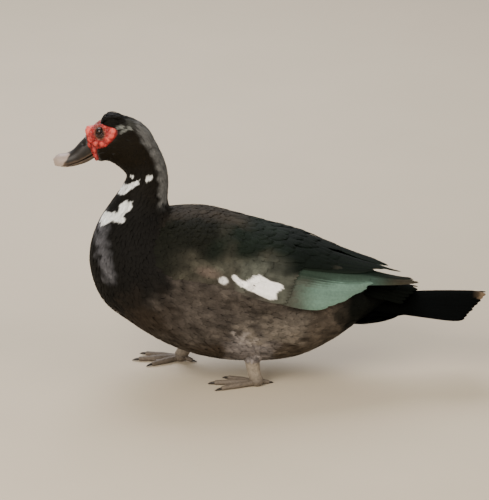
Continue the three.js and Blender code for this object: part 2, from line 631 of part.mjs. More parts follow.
function buildLeg(name) {
  const { side, heel, hock, thigh, turn } = LEGS[name];
  const place = (x, y, z) => V(x, side * y, z);
  const pad = place(...heel, HEEL_PAD.rise);
  const knee = place(...hock);
  const toeLine = (toe) => (t) => {
    const angle = (turn - side * toe.spread) * DEG;
    const z = THREE.MathUtils.lerp(...TOE_HEIGHT, t);
    return V(pad.x - toe.length * t * Math.cos(angle), pad.y + toe.length * t * Math.sin(angle), z);
  };
  const shankRod = (grow) => {
    const sizes = [SHANK.hock + grow, SHANK.middle + grow, SHANK.heel + grow];
    const points = [knee.clone().add(V(0, 0, SHANK.rise)), knee.clone().lerp(pad, 0.5), pad];
    return rod(points, sizes, { around: 10, rings: 5, flat: SHANK.flat });
  };

  const footParts = [ball(pad, [HEEL_PAD.radius, HEEL_PAD.radius, HEEL_PAD.height], 1)];
  const lines = Object.values(TOES).map(toeLine);
  const ends = {};
  Object.entries(TOES).forEach(([toe, { radius }], i) => {
    const sizes = [1.3, 1, 1.12, 0.9, 0.82].map((share) => share * radius);
    const points = [0, 0.25, 0.5, 0.75, 1].map(lines[i]);
    footParts.push(rod(points, sizes, { around: 6, rings: 5 }));
    ends[toe] = { end: points[4], along: points[4].clone().sub(points[3]).normalize(), radius: sizes[4] };
  });
  const backAngle = (180 + turn + side * HALLUX.spread) * DEG;
  const back = V(-Math.cos(backAngle), Math.sin(backAngle), 0);
  const halluxPoints = [0, 0.5, 1].map((t) => {
    const z = THREE.MathUtils.lerp(HALLUX.height, HALLUX.radius * 0.7, t ** 0.7);
    return pad.clone().addScaledVector(back, HALLUX.length * t).setZ(z);
  });
  footParts.push(rod(halluxPoints, [4.4, HALLUX.radius, HALLUX.radius * 0.8], { around: 6, rings: 3 }));
  ends.hind = { end: halluxPoints[2], along: back, radius: HALLUX.radius * 0.8 };
  footParts.push(buildWeb(lines[0], lines[1]), buildWeb(lines[1], lines[2]));

  const floor = block(V(pad.x, pad.y, -50), [400, 400, 100]);
  const cut = block(pad.clone().setZ(SHANK.cut), [80, 80, GAP]);
  const parts = shankRod(0).add(join(footParts)).subtract(floor).subtract(cut).decompose();
  const [shank, foot] = parts.sort((a, b) => middleOf(b).z - middleOf(a).z);
  const thighPoints = [place(...thigh), place(...thigh).lerp(knee, 0.6), knee];
  const thighForm = rod(thighPoints, [THIGH.root, THIGH.middle, THIGH.hock], { around: 12, rings: 5, flat: 0.9 });
  addNode("thigh_" + name, largest(thighForm.subtract(grown).subtract(shankRod(GAP))), "#3a3029");
  addNode("shank_" + name, largest(shank.subtract(grown)), "#8d8577", { roughness: 0.5 });
  addNode("foot_" + name, foot, "#5d574d", { roughness: 0.5 });

  Object.entries(ends).forEach(([toe, { end, along, radius }]) => {
    const size = toe === "hind" ? 0.7 : 1;
    const points = [0, 0.5, 1].map((t) => {
      const z = THREE.MathUtils.lerp(end.z, 1.1, t ** 1.5);
      return end.clone().addScaledVector(along, GAP + CLAW.length * size * t).setZ(z);
    });
    const sizes = [radius * CLAW.root, radius * CLAW.root * 0.75, CLAW.tip];
    addNode(`claw_${name}_${toe}`, rod(points, sizes, { around: 6, rings: 3 }), "#2b2622", { roughness: 0.4 });
  });
}
Object.keys(LEGS).forEach(buildLeg);

// The origin lies on the floor, under the middle of the whole bird
const reach = new THREE.Box3().setFromObject(group);
const middle = reach.getCenter(V(0, 0, 0));
group.position.set(-middle.x, -middle.y, -reach.min.z);

export default group;
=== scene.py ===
"""A muscovy drake, life size, standing in mid stride: skin, plumage, bare red face, bill and legs.

All sizes are in millimetres in the bird's own frame, where the bill points to -X, the tail to +X and the
bird's left side to -Y. Place.to_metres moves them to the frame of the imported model.
"""

from __future__ import annotations

import logging
import math
from abc import ABC, abstractmethod
from dataclasses import dataclass, field, replace
from enum import Enum
from functools import partial
from typing import Callable, Sequence

import bmesh
import bpy
import numpy as np
from mathutils import Matrix, Vector
from mathutils.kdtree import KDTree

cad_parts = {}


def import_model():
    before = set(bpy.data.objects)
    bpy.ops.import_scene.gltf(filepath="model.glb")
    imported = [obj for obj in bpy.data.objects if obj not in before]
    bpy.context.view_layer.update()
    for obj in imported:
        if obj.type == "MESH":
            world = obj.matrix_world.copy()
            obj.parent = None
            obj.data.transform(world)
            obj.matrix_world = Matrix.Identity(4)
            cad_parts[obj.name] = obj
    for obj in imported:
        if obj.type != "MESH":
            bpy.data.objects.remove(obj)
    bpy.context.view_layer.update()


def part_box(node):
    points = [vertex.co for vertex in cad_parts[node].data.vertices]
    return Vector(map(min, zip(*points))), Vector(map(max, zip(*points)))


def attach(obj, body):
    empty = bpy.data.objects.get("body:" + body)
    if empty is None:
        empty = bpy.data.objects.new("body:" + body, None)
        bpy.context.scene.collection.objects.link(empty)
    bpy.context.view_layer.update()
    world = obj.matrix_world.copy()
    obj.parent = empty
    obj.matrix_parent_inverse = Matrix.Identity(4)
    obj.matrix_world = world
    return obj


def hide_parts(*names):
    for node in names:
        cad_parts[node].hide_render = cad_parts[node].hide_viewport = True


log = logging.getLogger("drake")

MM = 0.001
TURN = 2 * math.pi
# Maps of a piece: the one that the export bakes on, and one in mm that the barbs of a feather follow
BAKE_MAP = "OFBake"
VANE_MAP = "Vane"
TINT = "Tint"
TUFT_PATCH = 0.003
# Rings along the solid torso and corners round each of them
CAD_RINGS = 54
CAD_AROUND = 22
# How far apart in mm the half widths of a form, and the radii of a rod, are taken to stand
STATION_GAP = 20.0
RADIUS_GAP = 10.0

Array = np.ndarray
Pair = tuple[float, float]
Triple = tuple[float, float, float]
Outline = Sequence[Pair]
Piece = bpy.types.Object
Socket = bpy.types.NodeSocket
Tree = bpy.types.NodeTree
Paint = Callable[[Array], Array]
GridPlace = Callable[[Array, Array], Array]

# Stations of the body, rump to bill: back line (x, z), belly line (x, z), half width
BODY_STATIONS = {
    "rumpEnd": (222, 131, 219, 112, 14),
    "tailRoot": (184, 157, 178, 88, 45),
    "vent": (146, 180, 138, 60, 66),
    "hip": (94, 205, 84, 35, 84),
    "saddle": (30, 231, 20, 28, 93),
    "belly": (-30, 250, -48, 34, 96),
    "shoulder": (-72, 254, -108, 54, 94),
    "wishbone": (-95, 256, -166, 90, 89),
    "keel": (-103, 260, -208, 125, 79),
    "breast": (-107, 270, -226, 182, 64),
    "crop": (-108, 284, -216, 232, 48),
    "neckRoot": (-107, 302, -192, 273, 36),
    "midNeck": (-109, 325, -175, 299, 30),
    "throat": (-118, 352, -170, 317, 28),
    "nape": (-138, 385, -184, 333, 28),
    "crown": (-170, 403, -199, 341, 27),
    "brow": (-203, 401, -208, 340, 25),
    "forehead": (-222, 388, -213, 341, 20.5),
    "billRoot": (-231, 378, -216, 345, 15),
}
UPPER_STATIONS = {
    "root": (-230.6, 376, -219.6, 352.2, 14.2),
    "nostril": (-240, 366, -228.5, 347, 13.8),
    "saddle": (-250, 355, -240, 341.2, 13),
    "spoon": (-260, 349.6, -252, 337, 13),
    "lip": (-269, 348.6, -262, 334.4, 13.2),
    "front": (-275, 345.4, -270, 332.6, 11.2),
    "tip": (-278.4, 340, -276.4, 332.6, 6),
}
LOWER_STATIONS = {
    "root": (-219, 351, -216.4, 345.2, 12.4),
    "jaw": (-228.3, 346.2, -226, 338.6, 12),
    "middle": (-240, 340.4, -239, 333.6, 11.2),
    "spoon": (-252, 336.2, -252, 330.6, 10.8),
    "lip": (-262, 334, -262.5, 329.8, 10.4),
    "tip": (-271, 333, -271, 331, 5),
}
# Stations of the folded wings' shell: x, height of its top, height of its widest line, half width
SHELL_STATIONS = (
    (-160, 250, 165, 86),
    (-110, 260, 160, 96),
    (-50, 261, 152, 103),
    (20, 241, 145, 104),
    (90, 222, 139, 97),
    (145, 198, 138, 78),
    (202, 176, 142, 50),
    (240, 163, 145, 36),
    (275, 157, 147, 26),
    (310, 153, 148, 18),
)
# Outline of the red mask in the side view, in mm in front of and above the eye
MASK_OUTLINE = (
    (27, -2), (25, 6), (14, 9.5), (7, 10), (0, 9.4), (-7, 8.6), (-16, 6.8), (-24, 5), (-28, 2), (-28, -3),
    (-22.5, -11), (-16, -17.5), (-11, -22), (-6, -25.5), (2.5, -27), (2.5, -33), (0, -44), (3, -51),
    (10.5, -51), (12, -41), (15, -36), (18, -31), (18, -21.4), (19, -12), (22, -7),
)


def smoothstep(value: Array, low: float, high: float) -> Array:
    """A smooth rise from 0 at low to 1 at high; it falls where high is the smaller."""
    share = np.clip((np.asarray(value, float) - low) / (high - low), 0, 1)
    return share * share * (3 - 2 * share)


def lerp(first: Array | float, second: Array | float, share: Array | float) -> Array | float:
    """The value that lies share of the way from first to second."""
    return first + (second - first) * share


def linear(colour: str) -> Array:
    """The linear red, green and blue of an sRGB hex colour."""
    value = np.array([int(colour[i : i + 2], 16) for i in (1, 3, 5)]) / 255
    return np.where(value <= 0.04045, value / 12.92, ((value + 0.055) / 1.055) ** 2.4)


def centripetal(rows: Array, share: Array) -> Array:
    """Points on the smooth curve through the rows, spaced so that it never overshoots.

    Args:
        rows: the points that the curve passes through.
        share: places on it, from 0 to 1.

    Returns:
        One point for each place.
    """
    padded = np.vstack([2 * rows[0] - rows[1], rows, 2 * rows[-1] - rows[-2]])
    place = np.clip(share, 0, 1) * (len(rows) - 1)
    k = np.minimum(place.astype(int), len(rows) - 2)
    w = (place - k)[:, None]
    p = [padded[k + i] for i in range(4)]
    d = [(np.sum((p[i + 1] - p[i]) ** 2, axis=1) ** 0.25)[:, None] for i in range(3)]
    into = (p[1] - p[0]) / d[0] - (p[2] - p[0]) / (d[0] + d[1]) + (p[2] - p[1]) / d[1]
    out = (p[2] - p[1]) / d[1] - (p[3] - p[1]) / (d[1] + d[2]) + (p[3] - p[2]) / d[2]
    t0, t1 = into * d[1], out * d[1]
    bend = -3 * p[1] + 3 * p[2] - 2 * t0 - t1
    twist = 2 * p[1] - 2 * p[2] + t0 + t1
    return p[1] + t0 * w + bend * w**2 + twist * w**3


def waves(points: Array, size: float, seed: int) -> Array:
    """Soft patches from a sum of seeded waves.

    Args:
        points: places in mm.
        size: how far across a patch is, in mm.
        seed: seed of the draw.

    Returns:
        A value for each place, mostly between -1 and 1.
    """
    rng = np.random.default_rng(seed)
    count = 14
    ways = rng.normal(size=(count, 3))
    ways *= (TURN / size) * rng.uniform(0.6, 1.6, (count, 1)) / np.linalg.norm(ways, axis=1, keepdims=True)
    phases = rng.uniform(0, TURN, count)
    return np.sin(points @ ways.T + phases).sum(axis=1) / math.sqrt(count)


def line_distance(line: Outline, x: Array, y: Array) -> Array:
    """How far each place lies from a line.

    Args:
        line: corners of the line, in order.
        x: first coordinates of the places.
        y: second coordinates of the places.

    Returns:
        The distance to the line, one for each place.
    """
    corners = np.array(line, float)
    nearest = np.full(len(x), np.inf)
    for start, end in zip(corners[:-1], corners[1:]):
        along = end - start
        share = np.clip(((x - start[0]) * along[0] + (y - start[1]) * along[1]) / (along @ along), 0, 1)
        away = np.hypot(x - start[0] - share * along[0], y - start[1] - share * along[1])
        nearest = np.minimum(nearest, away)
    return nearest


def outline_depth(outline: Outline, x: Array, y: Array) -> Array:
    """How deep each place lies inside an outline, negative outside it.

    Args:
        outline: corners of the outline, in order.
        x: first coordinates of the places.
        y: second coordinates of the places.

    Returns:
        The distance to the outline, one for each place.
    """
    closed = (*outline, outline[0])
    nearest = line_distance(closed, x, y)
    inside = np.zeros(len(x), bool)
    for (x1, y1), (x2, y2) in zip(closed[:-1], closed[1:]):
        crosses = (y1 > y) != (y2 > y)
        height = y2 - y1 if y2 != y1 else 1e-9
        inside ^= crosses & (x < x1 + (y - y1) / height * (x2 - x1))
    return np.where(inside, nearest, -nearest)


class Surface(ABC):
    """A surface that feathers grow on: along runs with their lie, around across it."""

    @abstractmethod
    def points(self, along: Array, around: Array, lift: Array | float = 0) -> Array:
        """The points at some places of the surface.

        Args:
            along: places along it.
            around: places around it.
            lift: how many mm off the surface the points lie.

        Returns:
            One point in mm for each place.
        """

    @abstractmethod
    def unwrap(self, along: Array, around: Array) -> Array:
        """Places on a flat unwrap of the surface, each coordinate from 0 to 1."""

    def scale(self, along: Array, around: Array) -> tuple[Array, Array]:
        """How far one unit of each coordinate reaches.

        Args:
            along: places along the surface.
            around: places around it.

        Returns:
            How many mm one unit of along, and one of around, is at each place.
        """
        step = 1e-3
        ahead = self.points(along + step, around) - self.points(along - step, around)
        beside = self.points(along, around + step) - self.points(along, around - step)
        return np.linalg.norm(ahead, axis=1) / (2 * step), np.linalg.norm(beside, axis=1) / (2 * step)


@dataclass(frozen=True)
class Form(Surface):
    """A closed form between an upper and a lower line in the middle plane.

    Its u runs from the first station to the last, and along = 1 - u runs back from the last one, which is
    how feathers lie. The angle goes from the upper line round the left side.
    """

    stations: dict[str, tuple[float, ...]]
    power: Pair = (0.9, 0.72)
    power_range: Pair = (14 / 18, 0.95)
    egg: float = 0.08
    middle: float = 0.5

    def at(self, name: str, share: float = 0) -> float:
        """The u of a station, or of a place share of the way to the next one."""
        return (list(self.stations).index(name) + share) / (len(self.stations) - 1)

    def ring(self, u: Array, angle: Array, grow: Array | float = 0) -> Array:
        """Points round the form's sections.

        Args:
            u: places from the first station, 0, to the last one, 1.
            angle: angles round the sections there.
            grow: how many mm the sections are grown by.

        Returns:
            One point in mm for each place.
        """
        rows = np.array(list(self.stations.values()), float)
        u = np.asarray(u, float)
        level = np.zeros(len(rows))
        over = centripetal(np.column_stack([rows[:, 0], level, rows[:, 1]]), u)
        under = centripetal(np.column_stack([rows[:, 2], level, rows[:, 3]]), u)
        spaced = np.column_stack([STATION_GAP * np.arange(len(rows)), rows[:, 4]])
        half = centripetal(spaced, u)[:, 1]
        centre = lerp(over, under, self.middle)
        cos, sin = np.cos(angle), np.sin(angle)
        arm = np.where((cos > 0)[:, None], over - centre, centre - under)
        length = np.linalg.norm(arm, axis=1)
        arm = arm * ((length + grow) / np.maximum(length, 1e-6))[:, None]
        power = lerp(*self.power, smoothstep(u, *self.power_range))
        up = np.sign(cos) * np.abs(cos) ** power
        across = np.sign(sin) * np.abs(sin) ** power
        points = centre + arm * up[:, None]
        points[:, 1] -= (half + grow) * across * (1 - self.egg * up)
        return points

    def points(self, along: Array, around: Array, lift: Array | float = 0) -> Array:
        """The points at those places, lift mm off the surface."""
        return self.ring(1 - np.asarray(along, float), np.asarray(around, float), lift)

    def unwrap(self, along: Array, around: Array) -> Array:
        """Places on a flat unwrap: around the form and from its last station to its first."""
        return np.column_stack([np.mod(np.asarray(around) / TURN + 0.5, 1), along])


@dataclass(frozen=True)
class WingShell(Surface):
    """The outer shell of one folded wing: along is x in mm, around the angle from the top down its side."""

    side: int
    front: float = -170
    reach: float = 500

    def row(self, x: Array) -> tuple[Array, Array, Array]:
        """The shell's section.

        Args:
            x: places along the bird in mm.

        Returns:
            Height of the top, height of the widest line and half width at each place.
        """
        rows = np.array(SHELL_STATIONS, float)
        last = len(rows) - 1
        k = np.clip(np.searchsorted(rows[1:, 0], x, side="left"), 0, last - 1)
        place = np.clip(k + (x - rows[k, 0]) / (rows[k + 1, 0] - rows[k, 0]), 0, last)
        k = np.minimum(place.astype(int), last - 1)
        w = (place - k)[:, None]
        p0, p1 = rows[np.maximum(k - 1, 0)], rows[k]
        p2, p3 = rows[k + 1], rows[np.minimum(k + 2, last)]
        v0, v1 = (p2 - p0) / 2, (p3 - p1) / 2
        value = (2 * p1 - 2 * p2 + v0 + v1) * w**3 + (-3 * p1 + 3 * p2 - 2 * v0 - v1) * w**2 + v0 * w + p1
        return value[:, 1], value[:, 2], value[:, 3]

    def points(self, along: Array, around: Array, lift: Array | float = 0) -> Array:
        """The points at those places, lift mm off the shell."""
        x = np.asarray(along, float)
        top, middle, half = self.row(x)
        rise = top - middle
        sin, cos = np.sin(around), np.cos(around)
        out = np.column_stack([np.zeros(len(x)), -sin / half, cos / rise])
        out /= np.linalg.norm(out, axis=1, keepdims=True)
        points = np.column_stack([x, -half * sin, middle + rise * cos])
        points += out * np.broadcast_to(np.asarray(lift, float), x.shape)[:, None]
        points[:, 1] *= self.side
        return points

    def unwrap(self, along: Array, around: Array) -> Array:
        """Places on a flat unwrap: x over the shell's reach, and the angle round from underneath."""
        return np.clip(np.column_stack([(along - self.front) / self.reach, around / TURN + 0.5]), 0, 1)


@dataclass(frozen=True)
class Rod(Surface):
    """A rod of round section along a smooth line: along from 0 to 1, around its angle."""

    line: tuple[Triple, ...]
    radii: tuple[float, ...]
    flat: float = 1
    step: float = 0.01

    def points(self, along: Array, around: Array, lift: Array | float = 0) -> Array:
        """The points at those places, lift mm off the rod."""
        along = np.asarray(along, float)
        line, on_rod = np.array(self.line, float), np.clip(along, 0, 1)
        before, after = np.maximum(on_rod - self.step, 0), np.minimum(on_rod + self.step, 1)
        ahead = centripetal(line, after) - centripetal(line, before)
        ahead /= np.linalg.norm(ahead, axis=1, keepdims=True)
        side = np.cross([0.0, 1.0, 0.0], ahead)
        side /= np.linalg.norm(side, axis=1, keepdims=True)
        wide = np.cross(ahead, side)
        spaced = np.column_stack([RADIUS_GAP * np.arange(len(self.radii)), self.radii])
        radius = centripetal(spaced, along)[:, 1] + lift
        across = (radius * np.cos(around))[:, None] * side
        return centripetal(line, along) + across + (radius * self.flat * np.sin(around))[:, None] * wide

    def unwrap(self, along: Array, around: Array) -> Array:
        """Places on a flat unwrap: around the rod and along it."""
        return np.column_stack([np.mod(np.asarray(around) / TURN, 1), along])


BODY = Form(BODY_STATIONS)
UPPER_BILL = Form(UPPER_STATIONS, power=(0.85, 0.85), egg=0, middle=0.9)
LOWER_BILL = Form(LOWER_STATIONS, power=(0.85, 0.85), egg=0, middle=1 / 6)
EYE_U = BODY.at("brow", 0.32)
EYE_ANGLE = math.radians(44)
EYE_RADIUS = 6.4
EYE_SUNK = 3.2


def one(value: float) -> Array:
    """A single number as an array."""
    return np.array([value], float)


def eye_frame(side: int) -> tuple[Array, Array, Array]:
    """Where an eye sits.

    Args:
        side: 1 for the bird's left eye, -1 for its right one.

    Returns:
        The spot on the skin over the eye, the arrow out of the skin there and the eye's centre.
    """
    step = 1e-3
    ahead = BODY.ring(one(EYE_U + step), one(EYE_ANGLE)) - BODY.ring(one(EYE_U - step), one(EYE_ANGLE))
    beside = BODY.ring(one(EYE_U), one(EYE_ANGLE + step)) - BODY.ring(one(EYE_U), one(EYE_ANGLE - step))
    out = -np.cross(beside[0], ahead[0])
    out /= np.linalg.norm(out)
    spot = BODY.ring(one(EYE_U), one(EYE_ANGLE))[0]
    flip = np.array([1, side, 1])
    return spot * flip, out * flip, (spot - EYE_SUNK * out) * flip


# Outline of a folded wing in the side view, closed over the back
WING_EDGE = (
    (-134, 270), (-137, 225), (-130, 200), (-112, 188), (-60, 182), (10, 168), (47, 155), (75, 147),
    (105, 137), (135, 134), (152, 150), (152, 270),
)


@dataclass(frozen=True)
class Flanks(Surface):
    """The body's surface, which swells to the wings' level along their front and lower edges.

    edge is where it swells, by depth inside the wings' outline, fade where that ends along the bird, side
    where it starts out from the middle plane, and tuck where a hidden one, such as the skin, sinks back
    under the wings.
    """

    hidden: bool = False
    edge: Pair = (-46, -3)
    fade: Pair = (100, 30)
    side: Pair = (30, 60)
    tuck: Pair = (20, 5)

    def points(self, along: Array, around: Array, lift: Array | float = 0) -> Array:
        """The points at those places, lift mm off the surface."""
        points = BODY.points(along, around, lift)
        x, y, z = points.T
        depth = outline_depth(WING_EDGE, x, z)
        share = smoothstep(depth, *self.edge) * smoothstep(x, *self.fade) * smoothstep(np.abs(y), *self.side)
        if self.hidden:
            share = share * smoothstep(depth, *self.tuck)
        top, middle, half = WingShell(1).row(x)
        level = np.clip((z - middle) / (top - middle), -1, 1)
        reach = half * np.sqrt(1 - level**2) + lift - 1
        points[:, 1] = np.sign(y) * lerp(np.abs(y), np.maximum(np.abs(y), reach), share)
        return points

    def unwrap(self, along: Array, around: Array) -> Array:
        """Places on the body's own flat unwrap."""
        return BODY.unwrap(along, around)


FLANKS = Flanks()


def cad_shift() -> Array:
    """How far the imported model's origin lies from the bird's own.

    Returns:
        The shift in mm, found from the front of the solid torso.
    """
    rings = np.arange(round(CAD_RINGS * BODY.at("crop"))) / CAD_RINGS
    u, angle = np.meshgrid(rings, np.arange(CAD_AROUND) * TURN / CAD_AROUND)
    front = BODY.ring(u.ravel(), angle.ravel())[:, 0].min()
    low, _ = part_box("torso")
    return np.array([low[0] / MM - front, 0, 0])


class Place:
    """Holds the shift from the bird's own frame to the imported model's, once that is loaded."""

    shift: Array = np.zeros(3)

    @classmethod
    def to_metres(cls, points: Array) -> Array:
        """Points in mm in the bird's own frame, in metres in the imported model's frame."""
        return (points + cls.shift) * MM


@dataclass(frozen=True)
class Mark:
    """A soft-edged spot in the side view: its centre, half length, half height and slope in degrees."""

    x: float
    z: float
    length: float
    height: float
    slope: float = 0
    side: int = 1

    def cover(self, points: Array, edge: float = 0.25) -> Array:
        """How fully the spot covers each point on its own side of the bird.

        Args:
            points: places in mm.
            edge: half width of the soft edge, as a share of the spot's own size.

        Returns:
            A share from 0 to 1 for each point.
        """
        turn = math.radians(self.slope)
        dx, dz = points[:, 0] - self.x, points[:, 2] - self.z
        along = (dx * math.cos(turn) + dz * math.sin(turn)) / self.length
        across = (-dx * math.sin(turn) + dz * math.cos(turn)) / self.height
        own = self.side * points[:, 1] < 0
        return np.where(own, 1 - smoothstep(np.hypot(along, across), 1 - edge, 1 + edge), 0)


class Shade(Enum):
    """Named colours as sRGB hex values, as they look in soft shade."""

    @property
    def rgb(self) -> Array:
        """The colour in linear light."""
        return linear(self.value)


class Hue(Shade):
    """Colours of the plumage."""

    BREAST = "#11100e"
    NECK = "#14120e"
    CHEEK = "#141009"
    CROWN = "#0f0d09"
    # Painted sheen: light reflected off the glossy black feathers, in bands down the nape and the breast
    NAPE_SHEEN = "#5a5a58"
    SHEEN = "#505053"
    FLANK = "#413c37"
    BELLY = "#7a7574"
    VENT = "#474038"
    # The back's own brown-grey, lightened by painted rim light along its top
    BACK_RIM_LIT = "#302b23"
    RUMP = "#080a07"
    SHOULDER = "#14150f"
    COVERT = "#3c3a31"
    OLIVE = "#464840"
    SCAPULAR = "#141b14"
    TERTIAL = "#0c120d"
    # Painted reflection: the green speculum's sheen where it catches the sky
    JADE_SHEEN = "#637f72"
    GREEN = "#2b382f"
    BROWN_TIP = "#332f24"
    TAIL = "#030403"
    WORN = "#6b5a46"
    WHITE = "#fffef8"
    GREY_WHITE = "#dfe2de"
    SPECK = "#9a938d"
    EAR = "#6f716b"
    RUFOUS = "#5a4f47"
    FLANK_PALE = "#5d574f"
    # A browner tone low on the body, darkened by painted shade underneath
    LOW_SHADE = "#3a3128"


class Bare(Shade):
    """Colours of the bare face, the eyes, the bill and the legs."""

    # Painted shade in the face's creases and painted highlight on its bulbs
    CREASE_SHADE = "#450d0b"
    RED = "#8e2421"
    PINK_HIGHLIGHT = "#d3564a"
    LID = "#5f3a28"
    # Painted shade in the hollow round the eye
    SOCKET_SHADE = "#1c100b"
    PUPIL = "#030202"
    IRIS = "#2b1a10"
    EYEBALL = "#0a0605"
    BILL_BLACK = "#13100c"
    BILL_DARK = "#211c16"
    BILL_EDGE = "#4a3d31"
    BILL_TIP = "#9a8b80"
    # Painted shade in the nostrils' pits
    NOSTRIL_SHADE = "#0b0908"
    JAW_DARK = "#3f342a"
    JAW_TAN = "#53473a"
    JAW_TIP = "#8f8176"
    SHANK = "#8a8071"
    TOE = "#685e52"


# White patches of the left side of the neck, as outlines in x and z
NECK_OUTLINES = (
    (
        (-210, 245), (-208, 254), (-202, 259), (-196, 263), (-190, 266), (-182, 268), (-180, 277),
        (-175, 283), (-167, 286), (-160, 286), (-161, 279), (-163, 274), (-170, 270), (-173, 265),
        (-170, 262), (-172, 258), (-180, 256), (-191, 256), (-198, 250), (-207, 243),
    ),
    (
        (-188, 289), (-186, 296), (-173, 303), (-161, 312), (-151, 317), (-149, 312), (-160, 305),
        (-170, 295), (-178, 290), (-185, 286),
    ),
)
NECK_MARKS = (
    Mark(-161, 321, 3.4, 2.8, 20),
    Mark(-135.5, 320.5, 5.2, 4.8, 30),
    Mark(-171, 296, 12, 4, 44, -1),
    Mark(-182, 262, 16, 8, 32, -1),
    Mark(-140, 312, 5, 4, 20, -1),
)
CROWN_MARK = Mark(-163, 402, 9, 7, -20)
EAR_MARKS = (Mark(-180, 397, 7, 2.6, 14), Mark(-174, 392, 6, 2, 20), Mark(-168, 396, 4, 1.8, 10))
# Outlines of the white patch on the greater coverts and of the streak before it, as x and z, and how much
# further forward both lie on the right wing
WHITE_OUTLINES = (
    (
        (6, 180), (29, 190), (46, 180), (59, 177), (64, 174), (62, 168), (56, 166), (53, 155), (45, 154),
        (30, 161), (20, 166), (8, 170),
    ),
    ((-12, 190), (-8, 191.5), (-1.5, 185), (9, 180.5), (9, 172), (0, 174.5), (-5.5, 180), (-11, 185)),
)
WHITE_FORWARD = 9
WHITE_SPOT = Mark(-25, 183, 6.4, 5.2, -12)
# Middle lines of the painted sheen, bands of reflected light down the nape and down the breast, as x and z
NAPE_SHEEN_LINE = (
    (-150, 400), (-146, 394), (-139, 383), (-130, 369), (-118, 345), (-113, 321), (-111, 300), (-111, 286),
    (-113, 275),
)
SHEEN_LINE = ((-207, 256), (-207, 222), (-201, 196), (-195, 176))
# Pale specks low on the left flank, and a reddish patch in front of the white spot of the wing
SPECKS = tuple(
    Mark(x, z, 4.2, 3.4, 20)
    for x, z in ((-12, 97), (-6, 91), (4, 88), (11, 82), (-2, 80), (17, 78), (7, 96), (22, 86))
)
RUFOUS_MARK = Mark(-46, 194, 17, 7, -12)


def painted(colour: Array, layers: Sequence[tuple[Shade, Array]]) -> Array:
    """Lays further colours over some, each as fully as its share says.

    Args:
        colour: linear colours, one for each place.
        layers: the colours laid over them in turn, with their shares.

    Returns:
        The linear colours that show.
    """
    for hue, share in layers:
        colour = lerp(colour, hue.rgb, np.clip(share, 0, 1)[:, None])
    return colour


def mottled(colour: Array, patches: Array, fine: Array, depth: Pair) -> Array:
    """Makes colours lighter and darker in patches, the darkest ones the least.

    Args:
        colour: linear colours, one for each place.
        patches: the wide patches' value there.
        fine: the small patches' value there.
        depth: how strongly each of the two shows.

    Returns:
        The mottled linear colours.
    """
    tone = 1 + (depth[0] * patches + depth[1] * fine) * smoothstep(colour.mean(axis=1), 0.008, 0.03)
    return colour * np.clip(tone, 0.5, 1.7)[:, None]


def on_left(points: Array) -> Array:
    """The points moved to the left side, for marks that both sides share."""
    return np.column_stack([points[:, 0], np.full(len(points), -1.0), points[:, 2]])


